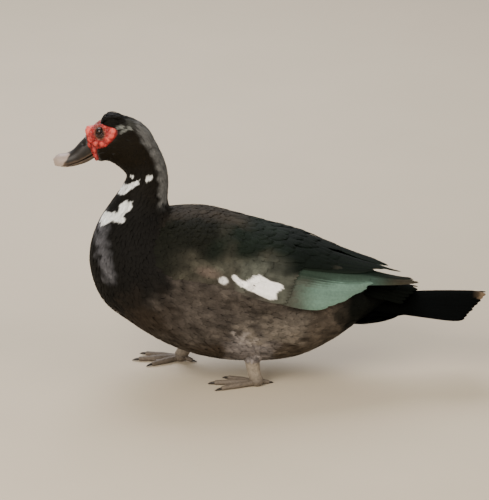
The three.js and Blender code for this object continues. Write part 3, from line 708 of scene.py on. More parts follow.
class Markings:
    """The colours of the plumage by place, the same for the skin and for the feathers on it."""

    @staticmethod
    def body(points: Array) -> Array:
        """Colours of the head, neck and body, among them painted sheen, painted rim light and painted shade.

        Args:
            points: places in mm.

        Returns:
            One linear colour for each place.
        """
        x, y, z = points.T
        patches, fine = waves(points, 46, 3), waves(points, 17, 4)
        low = smoothstep(z, 280, 240)
        flank = low * smoothstep(x + 16 * patches + 6 * fine, -142, -66)
        flank = flank * smoothstep(z - 1.5 * np.minimum(x + 90, 0), 262, 205)
        pale = smoothstep(x + 9 * patches + 7 * fine, -14, 46) * smoothstep(z + 6 * patches, 136, 104)
        belly = smoothstep(z + 9 * patches + 5 * fine, 98, 66) * smoothstep(abs(x + 8 * patches - 14), 46, 22)
        upper_rump = smoothstep(z, 150, 164) * smoothstep(x, 104, 122)
        layers = [
            # Browner and darker low on the body: its own tone with painted shade
            (Hue.LOW_SHADE, 0.5 * smoothstep(z + 9 * patches, 168, 116) * smoothstep(x + 9 * fine, -196, -150)),
            (Hue.FLANK, flank),
            (Hue.FLANK_PALE, pale),
            # Painted shade under the belly, with its own browner tone
            (Hue.LOW_SHADE, 0.8 * smoothstep(z + 7 * patches + 5 * fine, 84, 62) * smoothstep(x, -110, -60)),
            (Hue.BELLY, 0.9 * belly),
            # Painted rim light along the top of the back, over its own brown-grey
            (Hue.BACK_RIM_LIT, smoothstep(z + 6 * patches, 200, 232) * smoothstep(x, -128, -96) * low),
            (Hue.SCAPULAR, smoothstep(z, 150, 176) * smoothstep(x + 10 * patches, 14, 66)),
            (Hue.VENT, smoothstep(x + 10 * patches, 78, 108) * smoothstep(z, 150, 128)),
            (Hue.RUMP, np.maximum(smoothstep(x + 8 * patches, 142, 166), upper_rump)),
            (Hue.NECK, smoothstep(z, 262, 300)),
            (Hue.CHEEK, smoothstep(z, 328, 346)),
            (Hue.CROWN, smoothstep(z, 384, 398) * smoothstep(x, -132, -150)),
            (Hue.EAR, 0.2 * CROWN_MARK.cover(on_left(points), 0.7)),
        ]
        colour = painted(np.tile(Hue.BREAST.rgb, (len(points), 1)), layers)
        colour = mottled(colour, patches, fine, (0.16, 0.2))
        # Painted sheen: grey bands of reflected light down the breast and the nape, over the mottling
        breast = smoothstep(line_distance(SHEEN_LINE, x + 3 * fine, z), 16, 1)
        nape = smoothstep(z + 3 * fine, 266, 284)
        nape = nape * smoothstep(line_distance(NAPE_SHEEN_LINE, x + 1.6 * fine, z), 13, 4.5)
        marks = [(Hue.SHEEN, (0.82 + 0.12 * fine) * breast), (Hue.NAPE_SHEEN, (0.9 + 0.1 * fine) * nape)]
        jagged = points + 1.4 * waves(points, 9, 8)[:, None]
        marks += [(Hue.GREY_WHITE, mark.cover(jagged, 0.16)) for mark in NECK_MARKS]
        for outline in NECK_OUTLINES:
            depth = outline_depth(outline, jagged[:, 0], jagged[:, 2])
            marks.append((Hue.GREY_WHITE, np.where(y < 0, smoothstep(depth, -0.8, 0.8), 0)))
        marks += [(Hue.EAR, 0.75 * mark.cover(jagged, 0.4)) for mark in EAR_MARKS]
        marks += [(Hue.SPECK, 0.6 * mark.cover(jagged, 0.5)) for mark in SPECKS]
        return painted(colour, marks)

    @staticmethod
    def wing(points: Array) -> Array:
        """Colours of the small wing feathers: dark shoulder, brown coverts, green-black scapulars, painted
        rim light.

        Args:
            points: places in mm.

        Returns:
            One linear colour for each place.
        """
        x, y, z = points.T
        patches, fine = waves(points, 52, 5), waves(points, 18, 6)
        high = smoothstep(z + 5 * patches, 200, 222)
        middle = smoothstep(z + 4 * fine, 222, 202) * smoothstep(x, 104, 74)
        behind = smoothstep(z + 4 * patches, lerp(178, 168, smoothstep(x, 90, 120)), 190)
        ridge = smoothstep(abs(y) + 4 * fine, 42, 20) * smoothstep(x, 30, -10) * smoothstep(x, -128, -96)
        layers = [
            (Hue.OLIVE, smoothstep(x + 16 * patches, -40, 20) * middle),
            (Hue.FLANK, 0.7 * smoothstep(z + 8 * patches, 186, 164) * smoothstep(x, 60, 30)),
            (Hue.SHOULDER, smoothstep(x + 12 * patches, -70, -122)),
            (Hue.SHOULDER, smoothstep(z + 7 * patches, 204, 226) * smoothstep(x, 0, -40)),
            (Hue.SCAPULAR, high * smoothstep(x + 12 * patches, -50, 0)),
            (Hue.TERTIAL, behind * smoothstep(x, 40, 90)),
            # Painted rim light: a lighter band along the ridge of the back, over its own brown-grey
            (Hue.BACK_RIM_LIT, 0.9 * ridge),
        ]
        colour = painted(np.tile(Hue.COVERT.rgb, (len(points), 1)), layers)
        colour = mottled(colour, patches, fine, (0.18, 0.22))
        rufous = 0.75 * RUFOUS_MARK.cover(points, 0.6)
        return painted(colour, [(Hue.RUFOUS, rufous), (Hue.WHITE, Markings.white_wing(points))])

    @staticmethod
    def white_wing(points: Array) -> Array:
        """How white the wing is: a patch, a streak and a spot on its coverts.

        Args:
            points: places in mm.

        Returns:
            A share from 0 to 1 for each place.
        """
        near = on_left(points)
        near[:, 0] += np.where(points[:, 1] > 0, WHITE_FORWARD, 0) + 0.5 * waves(points, 7, 21)
        depths = [outline_depth(outline, near[:, 0], near[:, 2]) for outline in WHITE_OUTLINES]
        shares = [smoothstep(depth, -0.8, 0.8) for depth in depths]
        return np.maximum.reduce([*shares, 0.75 * WHITE_SPOT.cover(near, 0.25)])


@dataclass(frozen=True)
class Vane:
    """The outline and section of one kind of feather.

    shares are the places of its rows along it and widths its half width at each, as a share of the widest.
    """

    shares: tuple[float, ...]
    widths: tuple[float, ...]
    columns: int = 5
    thickness: float = 0.35
    camber: float = 0.12
    shaft: float = 0.12
    fray: float = 0.0

    def finer(self, rows: int, columns: int) -> Vane:
        """The same vane on a finer grid, for one that shows a marking.

        Args:
            rows: rows of corners along it.
            columns: columns of corners across it.

        Returns:
            The finer vane.
        """
        shares = np.linspace(0, 1, rows) ** 0.8
        widths = np.interp(shares, self.shares, self.widths)
        return replace(self, shares=tuple(shares), widths=tuple(widths), columns=columns)

    def column(self) -> Array:
        """The column of each corner of the grid."""
        rows, columns = len(self.shares), self.columns
        whole = np.tile(np.arange(columns), rows).reshape(rows, columns)
        return np.concatenate([whole.ravel(), whole[1:-1, 1:-1].ravel()])

    def grid(self) -> tuple[Array, Array, Array, Array, Array]:
        """The corners and faces of one closed vane.

        Returns:
            For each corner its share along, its share across, its width factor and its side (1 above,
            -1 below, 0 on the rim), and the faces as rows of four corners.
        """
        rows, columns = len(self.shares), self.columns
        top = np.arange(rows * columns).reshape(rows, columns)
        rim = np.ones((rows, columns), bool)
        rim[1:-1, 1:-1] = False
        below = top.copy()
        below[~rim] = rows * columns + np.arange((~rim).sum())
        share = np.repeat(self.shares, columns)
        width = np.repeat(self.widths, columns)
        cross = np.tile(np.linspace(-1, 1, columns), rows)
        inner = ~rim.ravel()
        level = np.where(rim.ravel(), 0, 1)
        quads = []
        for face, flip in ((top, False), (below, True)):
            quad = np.stack([face[:-1, :-1], face[:-1, 1:], face[1:, 1:], face[1:, :-1]], axis=-1)
            quad = quad.reshape(-1, 4)
            quads.append(quad[:, ::-1] if flip else quad)
        return (
            np.concatenate([share, share[inner]]),
            np.concatenate([cross, cross[inner]]),
            np.concatenate([width, width[inner]]),
            np.concatenate([level, -level[inner]]),
            np.concatenate(quads),
        )


BODY_VANE = Vane((0, 0.4, 0.7, 0.9, 1), (0.5, 0.95, 1, 0.8, 0.42), 5, 0.14, 0.03, 0.0, 0.12)
DOWN_VANE = Vane((0, 0.42, 0.78, 1), (0.5, 1, 0.95, 0.6), 5, 0.1, 0.02, 0.0, 0.2)
HEAD_VANE = Vane((0, 0.4, 0.75, 1), (0.5, 1, 0.85, 0.3), 3, 0.16, 0.08, 0.0, 0.14)
CREST_VANE = Vane((0, 0.25, 0.5, 0.7, 0.86, 1), (0.7, 0.95, 1, 0.86, 0.6, 0.25), 5, 0.26, 0.2, 0.04, 0.12)
COVERT_SMALL_VANE = Vane(
    (0, 0.35, 0.62, 0.82, 0.94, 1), (0.5, 0.88, 1, 0.94, 0.76, 0.46), 5, 0.12, 0.02, 0.0, 0.1
)
SCAPULAR_VANE = Vane(
    (0, 0.25, 0.48, 0.66, 0.8, 0.9, 0.96, 1),
    (0.5, 0.8, 0.97, 1, 0.92, 0.72, 0.5, 0.2),
    7, 0.25, 0.05, 0.06, 0.04,
)
FLIGHT_VANE = Vane(
    (0, 0.12, 0.25, 0.38, 0.5, 0.62, 0.73, 0.82, 0.89, 0.94, 0.975, 1),
    (0.4, 0.66, 0.82, 0.92, 0.98, 1, 0.98, 0.92, 0.8, 0.62, 0.4, 0.1),
    9, 0.5, 0.1, 0.4,
)
COVERT_VANE = Vane(
    (0, 0.2, 0.4, 0.58, 0.72, 0.83, 0.91, 0.97, 1),
    (0.45, 0.78, 0.95, 1, 0.97, 0.86, 0.66, 0.38, 0.1),
    7, 0.4, 0.12, 0.3,
)


def link_object(name: str, data: bpy.types.ID) -> Piece:
    """Puts data into the scene as an object of that name."""
    thing = bpy.data.objects.new(name, data)
    bpy.context.scene.collection.objects.link(thing)
    return thing


def add_tints(mesh: bpy.types.Mesh, colours: Array) -> None:
    """Gives a mesh its tint, one linear colour for each corner."""
    layer = mesh.color_attributes.new(TINT, "FLOAT_COLOR", "POINT")
    tints = np.column_stack([colours, np.ones(len(colours))])
    layer.data.foreach_set("color", tints.astype(np.float32).ravel())


@dataclass
class Cloud:
    """Corners, faces, colours and maps of many vanes, gathered into one mesh."""

    points: list[Array] = field(default_factory=list)
    faces: list[Array] = field(default_factory=list)
    colours: list[Array] = field(default_factory=list)
    bake: list[Array] = field(default_factory=list)
    vane: list[Array] = field(default_factory=list)
    rim: list[Array] = field(default_factory=list)
    count: int = 0

    def add(
        self, points: Array, faces: Array, colours: Array, bake: Array, vane: Array, level: Array
    ) -> None:
        """Adds one vane, or many that are alike.

        Args:
            points: the corners in mm.
            faces: rows of four corners.
            colours: one linear colour for each corner.
            bake: its place on the map for the export.
            vane: its place on the vane in mm.
            level: the side of each corner of one vane, 0 on the rim.
        """
        self.points.append(points)
        self.rim.append(np.tile(level == 0, len(points) // len(level)))
        self.faces.append(faces + self.count)
        self.colours.append(colours)
        self.bake.append(bake)
        self.vane.append(vane)
        self.count += len(points)

    def add_long(
        self, grid: tuple, points: Array, colours: Array, offset: Array, x: Array, strip: Pair, side: int
    ) -> None:
        """Adds one long feather, which has a strip of its own on the map for the export.

        Args:
            grid: the grid of its vane.
            points: the corners in mm.
            colours: one linear colour for each corner.
            offset: how far across the feather each corner lies, in mm.
            x: how far behind the root it lies, in mm.
            strip: the feather's number and how many share the map.
            side: 1 on the left, -1 on the right, where the faces turn round.
        """
        share, cross, width, level, faces = grid
        across = (strip[0] + 0.5 + 0.45 * cross * width) / strip[1]
        bake = np.column_stack([across, 0.02 + 0.96 * share])
        turned = faces if side > 0 else faces[:, ::-1]
        self.add(points, turned, colours, bake, np.column_stack([offset, x]), level)

    def build(self, name: str) -> Piece:
        """Builds the gathered mesh, with creased rims, its tint and both maps.

        Args:
            name: name of the piece.

        Returns:
            The object.
        """
        mesh = bpy.data.meshes.new(name)
        points = Place.to_metres(np.concatenate(self.points))
        faces = np.concatenate(self.faces).astype(np.int32)
        mesh.vertices.add(len(points))
        mesh.vertices.foreach_set("co", points.astype(np.float32).ravel())
        mesh.loops.add(faces.size)
        mesh.loops.foreach_set("vertex_index", faces.ravel())
        mesh.polygons.add(len(faces))
        mesh.polygons.foreach_set("loop_start", np.arange(0, faces.size, 4, dtype=np.int32))
        mesh.polygons.foreach_set("use_smooth", np.ones(len(faces), bool))
        mesh.update(calc_edges=True)
        ends = np.empty(2 * len(mesh.edges), np.int32)
        mesh.edges.foreach_get("vertices", ends)
        creased = np.concatenate(self.rim)[ends.reshape(-1, 2)].all(axis=1)
        mesh.attributes.new("sharp_edge", "BOOLEAN", "EDGE").data.foreach_set("value", creased)
        for map_name, places in ((BAKE_MAP, self.bake), (VANE_MAP, self.vane)):
            corners = np.concatenate(places)[faces.ravel()].astype(np.float32)
            mesh.uv_layers.new(name=map_name).uv.foreach_set("vector", corners.ravel())
        add_tints(mesh, np.concatenate(self.colours))
        mesh.uv_layers.active = mesh.uv_layers[BAKE_MAP]
        return link_object(name, mesh)


@dataclass
class Feathers:
    """Many short feathers of one kind, rooted on a surface.

    All sizes are in mm; lean turns a feather away from the surface's own lie, in radians, and tone makes it
    lighter or darker. mixed is how far its colour follows the place of each corner rather than its middle.
    Where there is a pile, the feathers also lie in layers in it: 0 is at its bottom and 1 at its top.
    """

    surface: Surface
    vane: Vane
    along: Array
    around: Array
    length: Array
    half: Array
    root: Array | float
    tip: Array
    lean: Array
    tone: Array
    seed: int
    paint: Paint = Markings.body
    fringe: float = 0.05
    mixed: float = 0.8
    pile: GridPlace | None = None
    layer: Array | None = None

    def build(self, name: str) -> Piece:
        """Builds the feathers as one piece.

        Args:
            name: name of the piece.

        Returns:
            The object.
        """
        rng = np.random.default_rng(self.seed)
        share, cross, width, level, faces = self.vane.grid()
        count, corners = len(self.along), len(share)
        per_along, per_around = self.surface.scale(self.along, self.around)
        loose = rng.uniform(-1, 1, (count, self.vane.columns))[:, self.vane.column()]
        reach = share[None] + self.vane.fray * loose * smoothstep(share, 0.7, 1)[None]
        ahead = reach * self.length[:, None]
        bend = rng.normal(0, 0.07, count)[:, None] * ahead * share[None]
        beside = (cross * width)[None] * self.half[:, None] + bend
        cos, sin = np.cos(self.lean)[:, None], np.sin(self.lean)[:, None]
        along = self.along[:, None] + (ahead * cos - beside * sin) / per_along[:, None]
        around = self.around[:, None] + (ahead * sin + beside * cos) / per_around[:, None]
        root = np.broadcast_to(self.root, count)[:, None]
        lift = lerp(root, self.tip[:, None], 1 - (1 - share[None]) ** 2)
        lift = lift - self.vane.camber * self.half[:, None] * (cross**2)[None]
        lift = lift + (self.vane.thickness / 2) * level[None]
        lift = lift + (self.vane.shaft * (cross == 0) * (level > 0))[None]
        if self.pile is not None:
            pile = self.pile(along.ravel(), around.ravel()).reshape(count, corners)
            lift = lift + self.layer[:, None] * pile * smoothstep(share, -0.1, 0.5)[None]
        points = self.surface.points(along.ravel(), around.ravel(), lift.ravel())
        middle = points.reshape(count, corners, 3)[:, len(share) // 3][:, None, :]
        seen = lerp(np.broadcast_to(middle, (count, corners, 3)).reshape(-1, 3), points, self.mixed)
        # Painted shade: each vane darker towards its root, where the feathers over it shade it; the paler
        # fringe at its tip is its own colour
        shade = 0.92 + 0.12 * share + self.fringe * smoothstep(share + 0.25 * cross**2, 0.84, 1.08)
        colours = self.paint(seen) * (self.tone[:, None] * shade[None]).reshape(-1, 1)
        spot = self.surface.unwrap(self.along, self.around)[:, None, :]
        patch = np.column_stack([cross, 2 * share - 1]) * (TUFT_PATCH / 2)
        bake = (spot + patch[None]).reshape(-1, 2)
        vane = np.stack([beside, ahead], axis=-1).reshape(-1, 2)
        step = np.arange(count)[:, None, None] * corners
        cloud = Cloud()
        cloud.add(points, (faces[None] + step).reshape(-1, 4), colours, bake, vane, level)
        return cloud.build(name)


def thinned(points: Array, reach: Array) -> list[int]:
    """Leaves out each point that lies too near to an earlier one that stays.

    Args:
        points: points in mm, in order.
        reach: least distance in mm of each to those that stay.

    Returns:
        The numbers of the points that stay.
    """
    cells = np.floor(points / reach.max()).astype(int).tolist()
    steps = [(i, j, k) for i in (-1, 0, 1) for j in (-1, 0, 1) for k in (-1, 0, 1)]
    taken: dict[Triple, list[Triple]] = {}
    chosen = []
    for index, ((x, y, z), least, (a, b, c)) in enumerate(zip(points.tolist(), (reach**2).tolist(), cells)):
        near = (spot for i, j, k in steps for spot in taken.get((a + i, b + j, c + k), ()))
        if all((px - x) ** 2 + (py - y) ** 2 + (pz - z) ** 2 >= least for px, py, pz in near):
            chosen.append(index)
            taken.setdefault((a, b, c), []).append((x, y, z))
    return chosen


def spread(
    surface: Surface, span: Pair, turn: Pair, spacing: Pair, seed: int, keep: Paint | None = None
) -> tuple[Array, Array, Array, Array]:
    """Roots spread evenly over a part of a surface, none nearer to another than its spacing.

    Args:
        surface: the surface.
        span: first and last place along it.
        turn: first and last place around it.
        spacing: least distance in mm at the first and at the last place along it.
        seed: seed of the draw.
        keep: which points may carry a root, or None where all may.

    Returns:
        Places along and around, the points there and their spacing.
    """
    rng = np.random.default_rng(seed)
    rows, columns, tries = 160, 96, 7
    row, column = (span[1] - span[0]) / rows, (turn[1] - turn[0]) / columns
    along = lerp(span[0], span[1], (np.arange(rows) + 0.5) / rows)
    around = lerp(turn[0], turn[1], (np.arange(columns) + 0.5) / columns)
    grid_along, grid_around = (part.ravel() for part in np.meshgrid(along, around, indexing="ij"))
    per_along, per_around = surface.scale(grid_along, grid_around)
    weight = per_along * per_around * row * column / np.interp(grid_along, span, spacing) ** 2
    if keep is not None:
        weight = weight * keep(surface.points(grid_along, grid_around))
    count = int(tries * weight.sum())
    pick = rng.choice(len(weight), size=count, p=weight / weight.sum())
    along = grid_along[pick] + rng.uniform(-0.5, 0.5, count) * row
    around = grid_around[pick] + rng.uniform(-0.5, 0.5, count) * column
    points, reach = surface.points(along, around), np.interp(along, span, spacing)
    chosen = thinned(points, reach)
    return along[chosen], around[chosen], points[chosen], reach[chosen]


def sheet(
    name: str,
    rows: int,
    columns: int,
    place: GridPlace,
    colour: Paint | None = None,
    closed: bool = True,
    wall: float = 0,
    keep: GridPlace | None = None,
) -> Piece:
    """A fine skin, laid out as a grid and then moved to its place.

    Args:
        name: name of the piece.
        rows: faces along the first coordinate.
        columns: faces along the second one.
        place: gives the points in mm for two coordinates from 0 to 1.
        colour: gives linear colours for points, or None for a piece that needs none.
        closed: whether the second coordinate runs round and its two ends are closed.
        wall: thickness in mm that an open sheet gets, inwards.
        keep: which grid places stay, for an open sheet.

    Returns:
        The finished object.
    """
    form = bmesh.new()
    bmesh.ops.create_grid(form, x_segments=rows, y_segments=columns, size=0.5)
    form.verts.ensure_lookup_table()
    flat = np.array([vert.co for vert in form.verts])
    first, second = np.clip(flat[:, 0] + 0.5, 0, 1), np.clip(flat[:, 1] + 0.5, 0, 1)
    bake = form.loops.layers.uv.new(BAKE_MAP)
    for face in form.faces:
        for loop in face.loops:
            loop[bake].uv = (second[loop.vert.index], first[loop.vert.index])
    for vert, spot in zip(form.verts, place(first, second)):
        vert.co = spot
    if keep is not None:
        stays = keep(first, second)
        lost = [vert for vert in form.verts if not stays[vert.index]]
        bmesh.ops.delete(form, geom=lost, context="VERTS")
    if closed:
        bmesh.ops.remove_doubles(form, verts=form.verts, dist=1e-4)
        rim = [edge for edge in form.edges if edge.is_boundary]
        caps = bmesh.ops.holes_fill(form, edges=rim, sides=0)["faces"]
        bmesh.ops.poke(form, faces=[face for face in caps if len(face.verts) > 4])
    bmesh.ops.recalc_face_normals(form, faces=form.faces)
    if wall:
        bmesh.ops.solidify(form, geom=form.faces, thickness=wall)
        bmesh.ops.recalc_face_normals(form, faces=form.faces)
    return finish_form(name, form, colour)


def finish_form(name: str, form: bmesh.types.BMesh, colour: Paint | None = None) -> Piece:
    """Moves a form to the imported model's frame and makes it a smooth object.

    Args:
        name: name of the piece.
        form: the form in mm, which is used up.
        colour: gives linear colours for points, or None for a piece that needs none.

    Returns:
        The object.
    """
    form.verts.ensure_lookup_table()
    points = np.array([vert.co for vert in form.verts])
    for vert, spot in zip(form.verts, Place.to_metres(points)):
        vert.co = spot
    for face in form.faces:
        face.smooth = True
    mesh = bpy.data.meshes.new(name)
    form.to_mesh(mesh)
    form.free()
    if colour is not None:
        add_tints(mesh, colour(points))
    return link_object(name, mesh)


def add_node(
    tree: Tree, kind: str, settings: dict | None = None, links: dict | None = None
) -> bpy.types.Node:
    """Adds a node with its settings and links.

    Args:
        tree: the material's node tree.
        kind: the node's type.
        settings: names of properties or input sockets, with their values.
        links: names or numbers of input sockets, with the output sockets that feed them.

    Returns:
        The node.
    """
    node = tree.nodes.new(kind)
    for name, value in (settings or {}).items():
        if name in node.inputs:
            node.inputs[name].default_value = value
        else:
            setattr(node, name, value)
    for name, source in (links or {}).items():
        tree.links.new(source, node.inputs[name])
    return node


def shaded(colour: str) -> tuple[float, float, float, float]:
    """An sRGB hex colour as a socket takes it."""
    return (*linear(colour).tolist(), 1.0)


@dataclass(frozen=True)
class Pattern:
    """What a pattern feeds: the factor on the colour, the height of the relief and the roughness.

    Where it gives no height of its own, the relief follows the factor.
    """

    share: Socket | None = None
    height: Socket | None = None
    rough: Socket | None = None


@dataclass(frozen=True)
class Finish(ABC):
    """A finish: a colour that a fine pattern varies, over a relief.

    colour is empty where the piece's own tint shows. shade is what the least and the most of the pattern
    make of the colour, and ceiling the pattern's value that counts as the most. bump is the relief's
    strength and its depth in metres, and specular how strongly the surface reflects.
    """

    name: str
    colour: str = ""
    roughness: float = 0.6
    shade: Pair = (0.8, 1.2)
    ceiling: float = 1.0
    bump: Pair = (0.0, 0.0004)
    specular: float = 0.5

    @abstractmethod
    def pattern(self, tree: Tree, place: Socket) -> Pattern:
        """Adds the pattern's nodes, which read Object coordinates in metres."""

    def settings(self) -> dict[str, float | Triple]:
        """The shader's further settings."""
        return {}

    def build(self) -> bpy.types.Material:
        """Builds the material.

        Returns:
            The material.
        """
        material = bpy.data.materials.new(self.name)
        material.use_nodes = True
        tree = material.node_tree
        tree.nodes.clear()
        place = add_node(tree, "ShaderNodeTexCoord")
        pattern = self.pattern(tree, place.outputs["Object"])
        if not place.outputs["Object"].is_linked:
            tree.nodes.remove(place)
        links = {}
        if not self.colour:
            tint = add_node(tree, "ShaderNodeAttribute", {"attribute_name": TINT})
            links["Base Color"] = tint.outputs["Color"]
        if pattern.share is not None:
            settings = {"From Max": self.ceiling, "To Min": self.shade[0], "To Max": self.shade[1]}
            share = add_node(tree, "ShaderNodeMapRange", settings, {"Value": pattern.share}).outputs["Result"]
            settings = {"data_type": "RGBA", "blend_type": "MULTIPLY", "Factor": 1.0}
            mixed = add_node(tree, "ShaderNodeMix", settings, {7: share})
            if self.colour:
                mixed.inputs[6].default_value = shaded(self.colour)
            else:
                tree.links.new(links["Base Color"], mixed.inputs[6])
            links["Base Color"] = mixed.outputs[2]
            if self.bump[0]:
                settings = {"Strength": self.bump[0], "Distance": self.bump[1]}
                height = {"Height": pattern.height or share}
                links["Normal"] = add_node(tree, "ShaderNodeBump", settings, height).outputs["Normal"]
        if pattern.rough is not None:
            links["Roughness"] = pattern.rough
        settings = {"Roughness": self.roughness, "Specular IOR Level": self.specular, **self.settings()}
        shader = add_node(tree, "ShaderNodeBsdfPrincipled", settings, links)
        add_node(tree, "ShaderNodeOutputMaterial", links={"Surface": shader.outputs["BSDF"]})
        return material


@dataclass(frozen=True)
class PlumageFinish(Finish):
    """Feathers of keratin, grown and preened smooth.

    It gives soft, nearly matt vanes with a fine mottling and a slight grain. The barbs are about 0.4 mm
    apart in life and are drawn at barb_mm, as finer ones don't show. The mottling is 4 mm across.
    """

    shade: Pair = (0.72, 1.3)
    bump: Pair = (0.15, 0.0004)
    specular: float = 0.07
    barb_mm: float = 1.1
    barb_slope: float = math.radians(40)

    def pattern(self, tree: Tree, place: Socket) -> Pattern:
        """The mottling, and the barbs along each vane's own map."""
        mottle = add_node(tree, "ShaderNodeTexNoise", {"Scale": 260.0, "Detail": 3.0}, {"Vector": place})
        vane = add_node(tree, "ShaderNodeUVMap", {"uv_map": VANE_MAP})
        settings = {"Rotation": (0, 0, self.barb_slope), "Scale": (1 / self.barb_mm,) * 3}
        turned = add_node(tree, "ShaderNodeMapping", settings, {"Vector": vane.outputs["UV"]})
        links = {"Vector": turned.outputs["Vector"]}
        barbs = add_node(tree, "ShaderNodeTexWave", {"Scale": 1.0, "Distortion": 1.2}, links)
        return Pattern(mottle.outputs["Fac"], barbs.outputs["Fac"])


@dataclass(frozen=True)
class SkinFinish(Finish):
    """Skin under a nap of down. It gives a dull, dark ground between the feathers, mottled at 1 mm."""

    name: str = "down_over_skin"
    roughness: float = 0.9
    shade: Pair = (0.4, 1.0)
    bump: Pair = (0.4, 0.001)
    specular: float = 0.2

    def pattern(self, tree: Tree, place: Socket) -> Pattern:
        """The down."""
        down = add_node(tree, "ShaderNodeTexNoise", {"Scale": 900.0, "Detail": 4.0}, {"Vector": place})
        return Pattern(down.outputs["Fac"], down.outputs["Fac"])

    def settings(self) -> dict[str, float | Triple]:
        """The down's tips catch a little light."""
        return {"Sheen Weight": 0.3}


@dataclass(frozen=True)
class BareSkinFinish(Finish):
    """Caruncles: bare skin full of blood, slightly moist.

    It gives a soft gloss and a warm glow at thin edges. The pores are about 0.6 mm apart in life and are
    drawn at 1.1 mm to show, the blotches at 3 mm.
    """

    name: str = "moist_bare_skin"
    roughness: float = 0.38
    bump: Pair = (0.35, 0.0004)
    specular: float = 0.25

    def pattern(self, tree: Tree, place: Socket) -> Pattern:
        """The blotches and the pores."""
        settings = {"Scale": 1 / 0.0011, "Randomness": 1.0}
        pores = add_node(tree, "ShaderNodeTexVoronoi", settings, {"Vector": place})
        blotch = add_node(tree, "ShaderNodeTexNoise", {"Scale": 330.0, "Detail": 3.0}, {"Vector": place})
        return Pattern(blotch.outputs["Fac"], pores.outputs["Distance"])

    def settings(self) -> dict[str, float | Triple]:
        """Light goes a few millimetres into the skin, red the furthest, and a thin moist film lies on it."""
        return {
            "Subsurface Weight": 0.15,
            "Subsurface Radius": (0.003, 0.001, 0.0006),
            "Subsurface Scale": 1.0,
            "Coat Weight": 0.06,
            "Coat Roughness": 0.25,
        }


@dataclass(frozen=True)
class HornFinish(Finish):
    """Keratin horn of bill and claws, smooth and worn.

    It gives a dull shine that breaks up along fine lines. They are about 0.8 mm apart in life and are drawn
    at 1.4 mm across and four times as long.
    """

    name: str = "worn_horn"
    roughness: float = 0.42
    shade: Pair = (0.75, 1.25)
    bump: Pair = (0.2, 0.0003)
    specular: float = 0.3
    wear: Pair = (-0.08, 0.12)

    def pattern(self, tree: Tree, place: Socket) -> Pattern:
        """The growth lines, which vary the roughness too."""
        drawn = add_node(tree, "ShaderNodeMapping", {"Scale": (0.25, 1.0, 1.0)}, {"Vector": place})
        settings = {"Scale": 700.0, "Detail": 5.0, "Roughness": 0.6}
        links = {"Vector": drawn.outputs["Vector"]}
        lines = add_node(tree, "ShaderNodeTexNoise", settings, links).outputs["Fac"]
        settings = {"To Min": self.roughness + self.wear[0], "To Max": self.roughness + self.wear[1]}
        rough = add_node(tree, "ShaderNodeMapRange", settings, {"Value": lines})
        return Pattern(lines, lines, rough.outputs["Result"])


@dataclass(frozen=True)
class ScaledSkinFinish(Finish):
    """Leg and web skin: small dry polygonal scales. It gives a dusty, leathery look with dark creases."""

    name: str = "dry_scaled_skin"
    roughness: float = 0.62
    shade: Pair = (0.6, 1.08)
    ceiling: float = 0.12
    bump: Pair = (0.5, 0.0005)
    specular: float = 0.4
    scale_mm: float = 1.6

    def pattern(self, tree: Tree, place: Socket) -> Pattern:
        """The scales, which sink in along their edges."""
        settings = {"feature": "DISTANCE_TO_EDGE", "Scale": 1000 / self.scale_mm}
        scales = add_node(tree, "ShaderNodeTexVoronoi", settings, {"Vector": place})
        return Pattern(scales.outputs["Distance"])


@dataclass(frozen=True)
class EyeFinish(Finish):
    """A wet eye under a clear cornea. It gives a small sharp light over a dark iris and pupil."""

    name: str = "wet_eye"
    roughness: float = 0.25
    specular: float = 0.3

    def pattern(self, tree: Tree, place: Socket) -> Pattern:
        """None: the ball is smooth."""
        return Pattern()

    def settings(self) -> dict[str, float | Triple]:
        """The film of tears and the cornea's own refraction."""
        return {"Coat Weight": 0.2, "Coat Roughness": 0.03, "IOR": 1.38}


@dataclass(frozen=True)
class FloorFinish(Finish):
    """A plain floor, painted matt. It gives a pale even ground with a faint mottling, 170 mm across."""

    name: str = "pale_studio_floor"
    colour: str = "#c3b7a0"
    roughness: float = 0.8
    shade: Pair = (0.96, 1.04)

    def pattern(self, tree: Tree, place: Socket) -> Pattern:
        """The mottling."""
        mottle = add_node(tree, "ShaderNodeTexNoise", {"Scale": 6.0, "Detail": 4.0}, {"Vector": place})
        return Pattern(mottle.outputs["Fac"])


class Finishes:
    """The finishes of the bird, each made once."""

    def __init__(self) -> None:
        """Builds the materials."""
        # Loose body feathers scatter light the most, sleek neck ones less; the wing's lie flat and firm, and
        # the tail's, worn and dusty, reflect least of all
        self.plumage = PlumageFinish("soft_contour_feathers", roughness=0.7).build()
        self.dark_plumage = PlumageFinish(
            "sleek_neck_feathers", roughness=0.6, specular=0.06, barb_mm=0.9
        ).build()
        self.wing_plumage = PlumageFinish(
            "glossy_wing_feathers", roughness=0.6, specular=0.06, barb_mm=1.2, bump=(0.2, 0.0004)
        ).build()
        self.tail_plumage = PlumageFinish(
            "glossy_tail_feathers", roughness=0.75, specular=0.02, barb_mm=1.3, bump=(0.2, 0.0004)
        ).build()
        self.skin = SkinFinish().build()
        self.bare_skin = BareSkinFinish().build()
        self.bill = HornFinish().build()
        # The nail is polished by use and pale; the claws are of the same horn, dark to the tip
        self.nail = HornFinish("pale_nail_horn", "#9c8d82", 0.4).build()
        self.claw = HornFinish("dark_claw_horn", "#2c2722", 0.4).build()
        self.legs = ScaledSkinFinish().build()
        self.eye = EyeFinish().build()
        self.floor = FloorFinish().build()


class Part(ABC):
    """A sub-assembly of the bird, or the stage that it stands on."""

    @abstractmethod
    def build(self, finishes: Finishes) -> None:
        """Builds its pieces and dresses them.

        Args:
            finishes: the finishes of the bird.
        """


